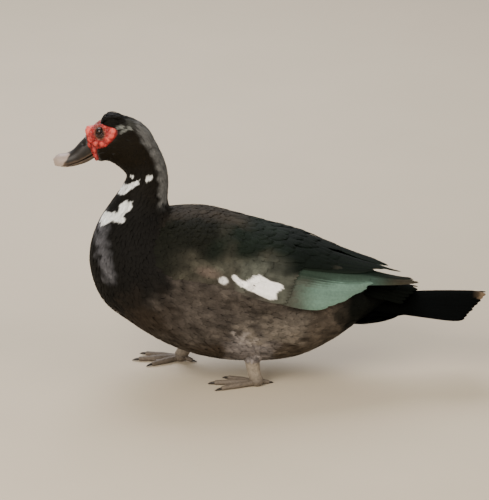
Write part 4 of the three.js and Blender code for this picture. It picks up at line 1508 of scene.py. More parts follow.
def dress(thing: Piece, finish: bpy.types.Material, nodes: Sequence[str] = ()) -> None:
    """Gives a piece its finish, ties it to the body and hides the solids' nodes that it stands for.

    Args:
        thing: the piece.
        finish: its material.
        nodes: the solids' nodes that it replaces.
    """
    thing.data.materials.append(finish)
    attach(thing, "root")
    if nodes:
        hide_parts(*nodes)
    log.info("%s: %d faces", thing.name, len(thing.data.polygons))


@dataclass
class Skin(Part):
    """One skin over torso, neck, head and tail base, inside the solids by the coat's depth."""

    depths: tuple[tuple[str, float], ...] = (
        ("rumpEnd", 1.5), ("vent", 2.4), ("saddle", 2.6), ("keel", 2.4), ("neckRoot", 1.9), ("throat", 1.5),
        ("crown", 1.1), ("brow", 0.9), ("billRoot", 0.8),
    )
    surface: Surface = Flanks(hidden=True)
    rows: int = 230
    columns: int = 110

    def depth(self, u: Array) -> Array:
        """How far the skin lies under the solids at u."""
        return np.interp(u, [BODY.at(name) for name, _ in self.depths], [mm for _, mm in self.depths])

    def build(self, finishes: Finishes) -> None:
        """Builds the skin as one closed piece."""
        piece = sheet(
            "skin",
            self.rows,
            self.columns,
            lambda u, v: self.surface.points(1 - u, v * TURN, -self.depth(u)),
            Markings.body,
        )
        dress(piece, finishes.skin, ["torso", "neck", "head"])


SKIN = Skin()


def mask_depth(points: Array) -> Array:
    """How deep points lie inside the outline of the bare red face, in the side view."""
    spot, _, _ = eye_frame(1)
    return outline_depth(MASK_OUTLINE, spot[0] - points[:, 0], points[:, 2] - spot[2])


@dataclass(frozen=True)
class CoatPart:
    """One region of the coat: where it is, how its feathers are spaced and shaped.

    spacing is from the region's front to its back, stretch and slim a feather's length and half width as
    shares of it, and ruffle how unevenly the tips stand off the surface.
    """

    name: str
    span: Pair
    spacing: Pair
    vane: Vane
    stretch: float
    slim: float
    seed: int
    ruffle: float
    dark: bool = False


@dataclass
class Coat(Part):
    """The small feathers of head, neck and body, in regions from the bill back to the rump."""

    parts: tuple[CoatPart, ...] = (
        CoatPart("coat_head", (0.004, 0.2), (1.65, 2.3), HEAD_VANE, 3.6, 0.55, 31, 0.1, True),
        CoatPart("coat_neck", (0.19, 0.42), (2.4, 3.5), BODY_VANE, 3.5, 0.7, 32, 0.12, True),
        CoatPart("coat_breast", (0.405, 0.62), (3.5, 4.6), BODY_VANE, 3.6, 0.76, 33, 0.14),
        CoatPart("coat_body", (0.6, 0.86), (4.6, 4.8), DOWN_VANE, 3.8, 0.8, 34, 0.12),
        CoatPart("coat_rump", (0.84, 0.985), (4.8, 4.6), DOWN_VANE, 3.8, 0.8, 35, 0.12),
    )
    tip: float = 0.05
    lid: float = 9
    tucked: float = 11

    def bare(self, points: Array) -> Array:
        """Where small feathers grow: not on the bare face, nor well under a folded wing.

        Args:
            points: places in mm.

        Returns:
            Whether each place may carry one.
        """
        x, _, z = points.T
        eye, _, _ = eye_frame(1)
        near_eye = np.hypot(x - eye[0], z - eye[2]) < self.lid
        covered = outline_depth(WING_EDGE, x, z) > self.tucked
        return ~covered & ~near_eye & (mask_depth(points) < 0.5)

    def region(self, part: CoatPart, finishes: Finishes) -> None:
        """Builds the feathers of one region as one piece.

        Args:
            part: the region.
            finishes: the finishes of the bird.
        """
        rng = np.random.default_rng(part.seed)
        along, around, points, reach = spread(
            FLANKS, part.span, (0, TURN), part.spacing, part.seed, self.bare
        )
        count = len(along)
        light = Markings.body(points).mean(axis=1)
        tone = np.exp(rng.normal(0, 0.07 + 0.07 * smoothstep(light, 0.02, 0.06), count))
        feathers = Feathers(
            FLANKS, part.vane, along, around,
            length=reach * part.stretch * rng.uniform(0.85, 1.15, count),
            half=reach * part.slim * rng.uniform(0.9, 1.12, count),
            root=-SKIN.depth(1 - along) - 0.3,
            tip=rng.normal(self.tip, part.ruffle, count),
            lean=rng.normal(0, 0.11, count),
            tone=tone,
            seed=part.seed + 100,
        )
        dress(feathers.build(part.name), finishes.dark_plumage if part.dark else finishes.plumage)

    def build(self, finishes: Finishes) -> None:
        """Builds every region."""
        for part in self.parts:
            self.region(part, finishes)


@dataclass
class Crest(Part):
    """Longer feathers on the crown, piled up behind the brow and flatter towards the nape.

    pile gives the crest's height by station of the body and share of the way to the next one.
    """

    pile: tuple[tuple[str, float, float], ...] = (
        ("nape", -0.4, 0.6), ("nape", 0.0, 2.6), ("nape", 0.4, 4.2), ("crown", -0.2, 4.8),
        ("crown", 0.2, 5.6), ("crown", 0.45, 9), ("crown", 0.7, 11), ("brow", -0.05, 11.5),
        ("brow", 0.15, 10.5), ("brow", 0.35, 7), ("brow", 0.55, 5), ("brow", 0.75, 3.4), ("brow", 0.95, 1.6),
    )
    first: tuple[str, float] = ("brow", 0.94)
    last: tuple[str, float] = ("nape", 0.1)
    reach: float = math.radians(38)
    spacing: float = 2.2
    layers: Triple = (0.2, 0.55, 0.95)
    overlap: float = 2.5
    length: Pair = (12, 20)
    half: float = 1.7
    seed: int = 41

    def height(self, along: Array, around: Array) -> Array:
        """The crest's height, which thins out down both sides.

        Args:
            along: places along the body.
            around: places around it.

        Returns:
            The height in mm at each place.
        """
        rows = sorted((BODY.at(name, share), mm) for name, share, mm in self.pile)
        tall = np.interp(1 - along, *np.array(rows).T)
        turn = np.abs(np.mod(around + math.pi, TURN) - math.pi)
        return tall * smoothstep(turn, self.reach * 1.2, self.reach * 0.2)

    def build(self, finishes: Finishes) -> None:
        """Builds the crest as one piece."""
        rng = np.random.default_rng(self.seed)
        span = (1 - BODY.at(*self.first), 1 - BODY.at(*self.last))
        turn, spacing = (-self.reach, self.reach), (self.spacing, self.spacing)
        along, around, _, _ = spread(
            BODY, span, turn, spacing, self.seed, lambda points: mask_depth(points) < self.overlap
        )
        deep = len(self.layers)
        layer = np.tile(self.layers, len(along))
        along, around = np.repeat(along, deep), np.repeat(around, deep)
        count = len(along)
        layer = layer + rng.uniform(-0.2, 0.06, count)
        share = (along - span[0]) / (span[1] - span[0])
        feathers = Feathers(
            BODY, CREST_VANE, along,
            around=around + rng.normal(0, 0.03, count),
            length=lerp(*self.length, share) * rng.uniform(0.75, 1.15, count),
            half=self.half * rng.uniform(0.8, 1.2, count),
            root=-1.3,
            tip=rng.uniform(-0.6, 0.4, count),
            lean=0.2 * around + rng.normal(0, 0.1, count),
            tone=np.exp(rng.normal(0, 0.12, count)),
            seed=self.seed + 1,
            mixed=0.4,
            pile=self.height,
            layer=layer,
        )
        dress(feathers.build("crest"), finishes.dark_plumage)


class Row(Enum):
    """The rows of long feathers of a folded wing."""

    PRIMARIES = "primaries"
    SECONDARIES = "secondaries"
    TERTIALS = "tertials"
    GREATER = "greater coverts"


@dataclass(frozen=True)
class WingRow:
    """One row of wing feathers, from its lowest to its highest: root and tip as x and angle, and half width.

    lift is how far off the shell the feathers lie at root and tip, step how much higher each lies than the
    one below it, and bulge how far the row's middle tips lie behind the straight line through its first and
    last ones.
    """

    row: Row
    count: int
    lift: Pair
    lowest: tuple[float, ...]
    highest: tuple[float, ...]
    vane: Vane = COVERT_VANE
    step: float = 0.9
    bulge: float = 0

    def into(self, cloud: Cloud, shell: WingShell, first: int, total: int, seed: int) -> None:
        """Adds the row's feathers to a cloud.

        Args:
            cloud: the cloud.
            shell: the wing's shell.
            first: number of feathers already placed on the wing's map.
            total: number of feathers on that map.
            seed: seed of the draw.
        """
        rng = np.random.default_rng(seed)
        grid = self.vane.grid()
        share, cross, width, level, _ = grid
        last = self.count - 1
        ranks = np.arange(self.count) / last
        lines = lerp(np.array(self.lowest), np.array(self.highest), ranks[:, None])
        lines[:, 2] += rng.normal(0, 1.6, self.count) + self.bulge * np.sin(math.pi * ranks**0.8)
        for i, (root_x, root_angle, tip_x, tip_angle, half) in enumerate(lines):
            below, above = max(i - 1, 0), min(i + 1, last)
            x = lerp(root_x, tip_x, share)
            angle = np.radians(lerp(root_angle, tip_angle, share))
            top, middle, shell_half = shell.row(x)
            per_mm = 1 / np.hypot(shell_half * np.cos(angle), (top - middle) * np.sin(angle))
            offset = cross * width * half * rng.uniform(0.96, 1.06)
            turn = offset * per_mm
            fan = lines[below, [1, 3]].sum() - lines[above, [1, 3]].sum()
            gap = math.radians(abs(fan) / 2 / max(1, above - below))
            lift = lerp(*self.lift, share) + self.step * turn / max(gap, 0.02) + rng.normal(0, 0.12)
            lift = lift - self.vane.camber * half * cross**2 * 0.7 + (self.vane.thickness / 2) * level
            lift = lift + self.vane.shaft * (cross == 0) * (level > 0)
            points = shell.points(x, angle + turn, lift)
            colours = WingColours.of(self.row, points, share, cross, ranks[i], rng)
            cloud.add_long(grid, points, colours, offset, x - root_x, (first + i, total), shell.side)


class WingColours:
    """Colours of the wing's rows by place along and across a feather."""

    @staticmethod
    def of(
        row: Row, points: Array, share: Array, cross: Array, rank: float, rng: np.random.Generator
    ) -> Array:
        """The colours of one feather.

        Args:
            row: the row that it belongs to.
            points: its corners in mm.
            share: their shares along the feather.
            cross: their shares across it.
            rank: its place in the row, 0 for the lowest and 1 for the highest.
            rng: the row's draw.

        Returns:
            One linear colour for each corner.
        """
        x = points[:, 0]
        vary = math.exp(rng.normal(0, 0.08))
        if row is Row.SECONDARIES:
            front = lerp(Hue.OLIVE.rgb, Hue.GREEN.rgb, smoothstep(rank, 0.45, 0.8))
            start = 78 + 34 * smoothstep(rank, 0.4, 0.8)
            # Painted reflection: the speculum's pale green sheen, over its own olive and green
            sheen_share = smoothstep(x, start, start + 40) * (1 - 0.3 * smoothstep(x, 150, 200))
            upper = rank + np.clip((150 - x) / 110, 0, 1) * 0.55
            sheen_share = sheen_share * (1 - 0.9 * smoothstep(upper, 0.62, 0.96))
            base = lerp(front, Hue.JADE_SHEEN.rgb, sheen_share[:, None])
        elif row is Row.PRIMARIES:
            dark = 0.85 * smoothstep(rank, 0.2, 0.7) * smoothstep(x, 160, 110)
            # Painted reflection: the same green sheen across the middle of the primaries
            layers = [
                (Hue.JADE_SHEEN, smoothstep(x, 128, 166) * smoothstep(x, 212, 170)),
                (Hue.TERTIAL, dark),
                (Hue.BROWN_TIP, smoothstep(x, 208, 236)),
            ]
            base = painted(np.tile(Hue.GREEN.rgb, (len(x), 1)), layers)
            base = lerp(base, Hue.TERTIAL.rgb, 0.8 * smoothstep(rank, 0.45, 0.9))
        elif row is Row.TERTIALS:
            base = lerp(Hue.TERTIAL.rgb, Hue.SCAPULAR.rgb, smoothstep(np.abs(cross), 0.5, 1)[:, None])
        else:
            base = Markings.wing(points)
        # Painted shade: each feather darker towards its root, under the ones over it; its paler edges are its
        # own colour
        shade = vary * (0.88 + 0.18 * share + 0.1 * smoothstep(np.abs(cross), 0.7, 1.0))
        return base * shade[:, None]


def flesh(
    shell: WingShell, span: Pair, turn: Pair, deep: float, top: Callable[[Array], Array | float]
) -> GridPlace:
    """A flat lens of flesh under the feathers of a shell.

    Args:
        shell: the shell.
        span: first and last x of the lens.
        turn: its first and last angle, in degrees.
        deep: lift of its underside in mm.
        top: lift of its upper side in mm, for places along it.

    Returns:
        A function that gives the lens's points for two coordinates from 0 to 1.
    """

    def place(first: Array, second: Array) -> Array:
        """The lens's points."""
        swell = np.sqrt(np.maximum(0.02, 1 - (2 * first - 1) ** 4))
        middle, reach = sum(turn) / 2, (turn[1] - turn[0]) / 2
        angle = np.radians(middle - reach * swell * np.cos(second * TURN))
        x = lerp(*span, first)
        return shell.points(x, angle, lerp(deep, top(x), (np.sin(second * TURN) + 1) / 2))

    return place


PRIMARIES = WingRow(
    Row.PRIMARIES, 8, (-9, -4.0), (20, 68, 270, 46, 8), (50, 44, 254, 16, 8.5), FLIGHT_VANE, 0.7
)


@dataclass
class Wing(Part):
    """A folded wing: flesh under the coverts and rows of feathers over it."""

    side: int
    rows: tuple[WingRow, ...] = (
        PRIMARIES,
        WingRow(
            Row.SECONDARIES, 14, (-5, -1.6), (-20, 71, 132, 92, 7.5), (30, 46, 194, 44, 7.5),
            FLIGHT_VANE, 0.5, 28,
        ),
        WingRow(
            Row.GREATER, 14, (-3.2, -0.3), (-66, 68, 72, 84, 8), (-25, 40, 96, 44, 8),
            COVERT_VANE.finer(30, 13), 0.6,
        ),
        WingRow(Row.TERTIALS, 7, (-5, 2.0), (25, 50, 192, 33, 10), (10, 14, 222, 10, 10), FLIGHT_VANE, 0.8),
    )
    right_primaries: WingRow = replace(PRIMARIES, lowest=(20, 68, 240, 46, 8), highest=(50, 44, 200, 21, 8))
    covert_turn: Pair = (math.radians(38), math.radians(82))
    covert_span: Pair = (-136, 34)
    covert_edge: tuple[Triple, Triple] = ((165, 180, 215), (-4, 4, 40))
    flesh_span: Pair = (-128, 128)
    flesh_turn: Pair = (4, 80)

    @property
    def word(self) -> str:
        """The wing's side in words."""
        return "left" if self.side > 0 else "right"

    def build(self, finishes: Finishes) -> None:
        """Builds the long feathers, the small coverts and the flesh under them."""
        shell, cloud = WingShell(self.side), Cloud()
        total = sum(row.count for row in self.rows)
        first = 0
        for number, row in enumerate(self.rows):
            if self.side < 0 and row.row is Row.PRIMARIES:
                row = self.right_primaries
            row.into(cloud, shell, first, total, 60 + number + 20 * (self.side < 0))
            first += row.count
        piece = cloud.build("wing_feathers_" + self.word)
        dress(piece, finishes.wing_plumage, ["wing_" + self.word])
        self.build_coverts(finishes, shell)
        place = flesh(
            shell, self.flesh_span, self.flesh_turn, -12.0, lambda x: lerp(-2.0, -8.0, smoothstep(x, -40, 40))
        )
        under = sheet("wing_flesh_" + self.word, 120, 96, place, Markings.wing)
        dress(under, finishes.skin)

    def build_coverts(self, finishes: Finishes, shell: WingShell) -> None:
        """Builds the small coverts, which grow larger from the shoulder back.

        Args:
            finishes: the finishes of the bird.
            shell: the wing's shell.
        """

        def keep(points: Array) -> Array:
            """Inside the wing's outline, and short of the greater coverts' tips."""
            x, _, z = points.T
            return (outline_depth(WING_EDGE, x, z) > 1) & (x < np.interp(z, *self.covert_edge))

        along, around, _, reach = spread(
            shell, self.covert_span, self.covert_turn, (4.1, 5.8), 52 + self.side, keep
        )
        count = len(along)
        rng = np.random.default_rng(54 + self.side)
        feathers = Feathers(
            shell, COVERT_SMALL_VANE, along, around,
            length=reach * 3.7 * rng.uniform(0.85, 1.12, count),
            half=reach * 0.86 * rng.uniform(0.92, 1.1, count),
            root=-2.4,
            tip=rng.normal(0.35, 0.12, count),
            lean=rng.normal(0.04, 0.08, count),
            tone=np.exp(rng.normal(0, 0.08, count)),
            seed=56 + self.side,
            paint=Markings.wing,
            mixed=0.85,
        )
        dress(feathers.build("wing_coverts_" + self.word), finishes.plumage)


@dataclass
class Back(Part):
    """The mantle between the shoulders and the long scapulars behind it, over the wings' upper edges."""

    mantle_span: Pair = (-136, 24)
    mantle_reach: float = math.radians(43)
    scapular_span: Pair = (-34, 104)
    scapular_reach: float = math.radians(42)

    def build(self, finishes: Finishes) -> None:
        """Builds the scapulars, the mantle and the flesh under both."""
        shell = WingShell(1)
        rng = np.random.default_rng(141)
        turn = (-self.scapular_reach, self.scapular_reach)
        along, around, _, size = spread(shell, self.scapular_span, turn, (8, 10.5), 142)
        count = len(along)
        share = (along - self.scapular_span[0]) / (self.scapular_span[1] - self.scapular_span[0])
        feathers = Feathers(
            shell, SCAPULAR_VANE, along, around,
            length=lerp(36, 52, share) * rng.uniform(0.88, 1.12, count),
            half=size * 0.78 * rng.uniform(0.92, 1.1, count),
            root=-3.0,
            tip=lerp(1.9, 1.2, share) + rng.normal(0, 0.2, count),
            lean=-0.05 * np.sign(around) + rng.normal(0, 0.05, count),
            tone=np.exp(rng.normal(0, 0.1, count)),
            seed=143,
            paint=Markings.wing,
        )
        dress(feathers.build("scapulars"), finishes.wing_plumage)
        turn = (-self.mantle_reach, self.mantle_reach)
        along, around, _, size = spread(
            shell, self.mantle_span, turn, (4.0, 5.8), 144,
            lambda points: outline_depth(WING_EDGE, points[:, 0], points[:, 2]) > -4,
        )
        count = len(along)
        feathers = Feathers(
            shell, COVERT_SMALL_VANE, along, around,
            length=size * 3.8 * rng.uniform(0.85, 1.15, count),
            half=size * 0.86 * rng.uniform(0.92, 1.1, count),
            root=-2.2,
            tip=rng.normal(1.2, 0.14, count),
            lean=rng.normal(0, 0.08, count),
            tone=np.exp(rng.normal(0, 0.09, count)),
            seed=145,
            paint=Markings.wing,
            mixed=0.85,
        )
        dress(feathers.build("mantle"), finishes.plumage)
        place = flesh(shell, (-126.0, 126.0), (-40, 40), -9.0, lambda x: -1.8)
        dress(sheet("back_flesh", 60, 48, place, Markings.wing), finishes.skin)


@dataclass(frozen=True)
class TailRow:
    """One row of tail feathers of each side, from the middle one out, as in the solids but finer.

    root and tip are the middle feather's x, distance from the middle plane and height. spread is how much
    further out each next one has them, back how much shorter it is, slope how steeply the roof falls, step
    how much lower the next one lies, and rise how far the ridge arches up.
    """

    count: int
    half: float
    root: Triple
    tip: Triple
    spread: Pair
    back: float
    slope: float
    step: float
    rise: float
    vane: Vane
    hue: Hue = Hue.TAIL


@dataclass
class Tail(Part):
    """A roof of long feathers, the middle pair on top, with coverts over and under their roots."""

    rows: tuple[TailRow, ...] = (
        TailRow(9, 13.5, (186, 4, 125), (369, 6, 130), (1.6, 5.8), 4.2, 0.3, 0.9, 3, FLIGHT_VANE),
        TailRow(5, 9, (182, 5, 149), (266, 7, 138), (4.4, 7), 5.4, 0.25, 0.9, 2, COVERT_VANE, Hue.RUMP),
        TailRow(5, 9, (172, 5, 157), (238, 6, 146), (5.4, 7), 5.4, 0.3, 0.9, 2, COVERT_VANE, Hue.RUMP),
        TailRow(5, 9, (182, 5, 100), (264, 7, 99), (4.4, 7), 5, -0.12, -0.9, -3, COVERT_VANE, Hue.TAIL),
        TailRow(5, 9, (166, 5, 82), (236, 6, 92), (5, 6.4), 5, -0.16, -0.9, -4, COVERT_VANE, Hue.RUMP),
    )
    worn: Pair = (356, 362)
    overlap: float = 2.2
    side_step: float = 0.35

    def build(self, finishes: Finishes) -> None:
        """Builds the tail as one piece, with the tips that are worn brown."""
        cloud = Cloud()
        rng = np.random.default_rng(71)
        total = 2 * sum(row.count for row in self.rows)
        numbers = iter(range(total))
        for row in self.rows:
            for side in (1, -1):
                for i in range(row.count):
                    self.feather(cloud, row, side, i, (next(numbers), total), rng)
        dress(cloud.build("tail_feathers"), finishes.tail_plumage, ["tail"])

    def feather(
        self, cloud: Cloud, row: TailRow, side: int, i: int, strip: Pair, rng: np.random.Generator
    ) -> None:
        """Adds one feather to a cloud.

        Args:
            cloud: the cloud.
            row: the feather's row.
            side: 1 on the left, -1 on the right.
            i: its number in the row, from the middle one out.
            strip: its number in the tail and how many the tail has.
            rng: the tail's draw.
        """
        grid = row.vane.grid()
        share, cross, width, level, _ = grid
        middle = lerp(row.root[1] + row.spread[0] * i, row.tip[1] + row.spread[1] * i, share)
        offset = cross * width * row.half
        outward = np.maximum(middle + offset, -self.overlap)
        ridge = lerp(row.root[2], row.tip[2], share) + row.rise * np.sin(math.pi * share)
        x = lerp(row.root[0], row.tip[0] - row.back * i + rng.normal(0, 1.2), share)
        z = ridge - row.slope * outward - row.step * i - row.vane.camber * row.half * cross**2
        z = z + row.vane.thickness / 2 * level + row.vane.shaft * (cross == 0) * (level > 0)
        points = np.column_stack([x, -side * outward, z + self.side_step * side])
        base = row.hue.rgb * math.exp(rng.normal(0, 0.12))
        # Painted shade: each feather darker towards its root, under the coverts
        colours = np.tile(base, (len(x), 1)) * (0.9 + 0.25 * share)[:, None]
        if row.hue is Hue.TAIL and i < 2 and side > 0:
            colours = painted(colours, [(Hue.WORN, smoothstep(x, *self.worn))])
        cloud.add_long(grid, points, colours, offset, x - row.root[0], strip, side)


@dataclass
class Caruncles(Part):
    """The bare red face: bulbs and folds of skin over the mask, with a knob at the root of the bill.

    main_bulbs are the large bulbs: how far in front of and above the eye each lies, and its radius.
    """

    span: Pair = (0.76, 1.0)
    reach: float = math.radians(152)
    rows: int = 150
    columns: int = 300
    main_bulbs: tuple[Triple, ...] = (
        (19.5, -1.5, 5.2), (20, -8, 3.2), (-20, 1, 5.4), (-18, -5.5, 4.8), (-13, -11, 4.6), (-4, -18, 4.4),
        (5, -18.5, 4.2), (13, -15, 4.2), (15, -24, 3.8), (8, -29, 3.8), (6, -38, 3.4), (6, -46, 3.2),
        (9, 6.5, 3.2), (15, 4.5, 3.4), (-9, 5.6, 3), (-15, 6, 2.6),
    )
    bulb_gap: float = 3.9
    bulb_size: Pair = (1.5, 2.6)
    height: float = 0.62
    sunk: float = 1.6
    wall: float = 1.2
    knob: Triple = (-228, 0, 383.5)
    knob_radii: Triple = (7.6, 10, 8.6)
    ring: float = 6.6
    hollow: Pair = (8.6, 9.4)
    hollow_middle: Pair = (1, -3.2)
    seed: int = 83

    def bulbs(self) -> tuple[Array, Array]:
        """Places the bulbs, large and small ones mixed, on both sides alike in number.

        Returns:
            Their centres and radii.
        """
        _, _, centres, _ = spread(
            BODY, (1 - self.span[1], 1 - self.span[0]), (-self.reach, self.reach),
            (self.bulb_gap, self.bulb_gap), self.seed,
            lambda points: (mask_depth(points) > 1.5) & (self.eye_distance(points) > 8),
        )
        rng = np.random.default_rng(self.seed)
        size = lerp(*self.bulb_size, rng.uniform(0, 1, len(centres)) ** 1.6)
        u, angle = np.meshgrid(np.linspace(*self.span, 160), np.linspace(0.05, self.reach, 160))
        skin = BODY.ring(u.ravel(), angle.ravel())
        eye, _, _ = eye_frame(1)
        main = []
        for forward, up, _ in self.main_bulbs:
            away = np.hypot(skin[:, 0] - eye[0] + forward, skin[:, 2] - eye[2] - up)
            main.append(skin[np.argmin(away)])
        both = np.vstack([main, np.array(main) * np.array([1, -1, 1])])
        radii = np.tile([radius for _, _, radius in self.main_bulbs], 2)
        return np.vstack([centres, both]), np.concatenate([size, radii])

    @staticmethod
    def eye_distance(points: Array) -> Array:
        """Distance to the spot over the nearer eye."""
        spots = [eye_frame(side)[0] for side in (1, -1)]
        return np.minimum(*(np.linalg.norm(points - spot, axis=1) for spot in spots))

    def lift(self, points: Array) -> Array:
        """How far the bare skin stands off the head.

        Args:
            points: places on the head in mm.

        Returns:
            The lift in mm at each place.
        """
        height = np.zeros(len(points))
        for centre, radius in zip(*self.bulbs()):
            distance = np.linalg.norm(points - centre, axis=1)
            dome = np.sqrt(np.maximum(0, 1 - (distance / (1.15 * radius)) ** 2)) * radius * self.height
            height = np.maximum(height, dome)
        folds = 0.5 * (1 - np.abs(waves(points, 7, 19))) + 0.25 * waves(points, 3.2, 23)
        around_eye = self.eye_distance(points)
        lid = 2.1 * np.exp(-(((around_eye - self.ring) / 1.3) ** 2))
        rings = 0.7 * np.exp(-(((around_eye - self.ring - 3.2) / 0.9) ** 2))
        calm = smoothstep(around_eye, 5.4, 9)
        away = np.linalg.norm((points - np.array(self.knob)) / np.array(self.knob_radii), axis=1)
        swell = 3.7 * np.exp(-1.6 * np.maximum(0, away - 0.55) ** 2)
        inside = smoothstep(mask_depth(points), -1.6, 2.4)
        return inside * (1.5 + (height + folds) * calm + lid + rings + swell) - self.sunk

    def colours(self, points: Array) -> Array:
        """Red skin with a painted highlight, brighter and pinker, on the bulbs and painted shade in the
        creases; brown lids with painted shade inside them.

        Args:
            points: corners of the finished piece in mm.

        Returns:
            One linear colour for each.
        """
        u, angle = np.meshgrid(np.linspace(*self.span, 120), np.linspace(-self.reach, self.reach, 240))
        surface = BODY.ring(u.ravel(), angle.ravel(), -self.sunk)
        tree = KDTree(len(surface))
        for index, spot in enumerate(surface):
            tree.insert(Vector(spot), index)
        tree.balance()
        lift = np.array([tree.find(Vector(point))[2] for point in points])
        # Painted shade low in the creases and painted highlights on the bulbs' tops, by how far the skin
        # stands out
        colour = np.tile(Bare.CREASE_SHADE.rgb, (len(points), 1))
        layers = [(Bare.RED, smoothstep(lift, 0.2, 2.8)), (Bare.PINK_HIGHLIGHT, 0.9 * smoothstep(lift, 2.8, 5))]
        colour = painted(colour, layers) * (1 + 0.16 * waves(points, 11, 29))[:, None]
        # Brown lids, and painted shade in the hollow inside them
        eye, _, _ = eye_frame(1)
        back = (points[:, 0] - eye[0] - self.hollow_middle[0]) / self.hollow[0]
        down = (eye[2] - points[:, 2] + self.hollow_middle[1]) / self.hollow[1]
        away = np.hypot(back, down)
        lid, socket = 0.85 * smoothstep(away, 1.15, 0.85), 0.9 * smoothstep(away, 0.88, 0.66)
        return painted(colour, [(Bare.LID, lid), (Bare.SOCKET_SHADE, socket)])

    def build(self, finishes: Finishes) -> None:
        """Builds the bare skin of the face as one piece."""

        def surface(first: Array, second: Array) -> tuple[Array, Array]:
            """u and angle for two coordinates from 0 to 1."""
            return lerp(*self.span, first), lerp(-self.reach, self.reach, second)

        def place(first: Array, second: Array) -> Array:
            """The bare skin's points, which lean forward over the root of the bill."""
            u, angle = surface(first, second)
            base = BODY.ring(u, angle)
            out = BODY.ring(u, angle, 0.5) - BODY.ring(u, angle, -0.5)
            out /= np.linalg.norm(out, axis=1, keepdims=True)
            out = out + np.array([-0.5, 0, 0.35]) * smoothstep(u, 0.9, 1.0)[:, None]
            out /= np.linalg.norm(out, axis=1, keepdims=True)
            return base + out * self.lift(base)[:, None]

        def keep(first: Array, second: Array) -> Array:
            """Which places carry bare skin: inside the mask, but not over the eyes."""
            base = BODY.ring(*surface(first, second))
            return (mask_depth(base) > -1.8) & (self.eye_distance(base) > 5)

        piece = sheet(
            "bare_face", self.rows, self.columns, place, self.colours, closed=False, wall=self.wall, keep=keep
        )
        dress(piece, finishes.bare_skin, ["caruncles"])


@dataclass
class Eyes(Part):
    """Two dark eyes, each a ball with its iris and pupil, whose radii are angles from its axis."""

    iris: float = math.radians(34)
    pupil: float = math.radians(17)

    def colours(self, points: Array, centre: Array, out: Array) -> Array:
        """Black pupil, brown iris and dark ball, by the angle from the eye's axis.

        Args:
            points: places on the ball in mm.
            centre: its centre.
            out: the eye's axis.

        Returns:
            One linear colour for each place.
        """
        angle = np.arccos(np.clip((points - centre) @ out / EYE_RADIUS, -1, 1))
        ball = smoothstep(angle, self.iris, self.iris + 0.2)
        layers = [(Bare.IRIS, smoothstep(angle, self.pupil, self.pupil + 0.1)), (Bare.EYEBALL, ball)]
        return painted(np.tile(Bare.PUPIL.rgb, (len(points), 1)), layers)

    def build(self, finishes: Finishes) -> None:
        """Builds both eyes."""
        for side, word in ((1, "left"), (-1, "right")):
            _, out, centre = eye_frame(side)
            form = bmesh.new()
            bmesh.ops.create_uvsphere(form, u_segments=48, v_segments=32, radius=EYE_RADIUS)
            turn = Vector((0, 0, 1)).rotation_difference(Vector(out)).to_matrix().to_4x4()
            bmesh.ops.transform(form, matrix=Matrix.Translation(Vector(centre)) @ turn, verts=form.verts)
            paint = partial(self.colours, centre=centre, out=out)
            piece = finish_form("eyeball_" + word, form, paint)
            dress(piece, finishes.eye, ["eye_" + word])


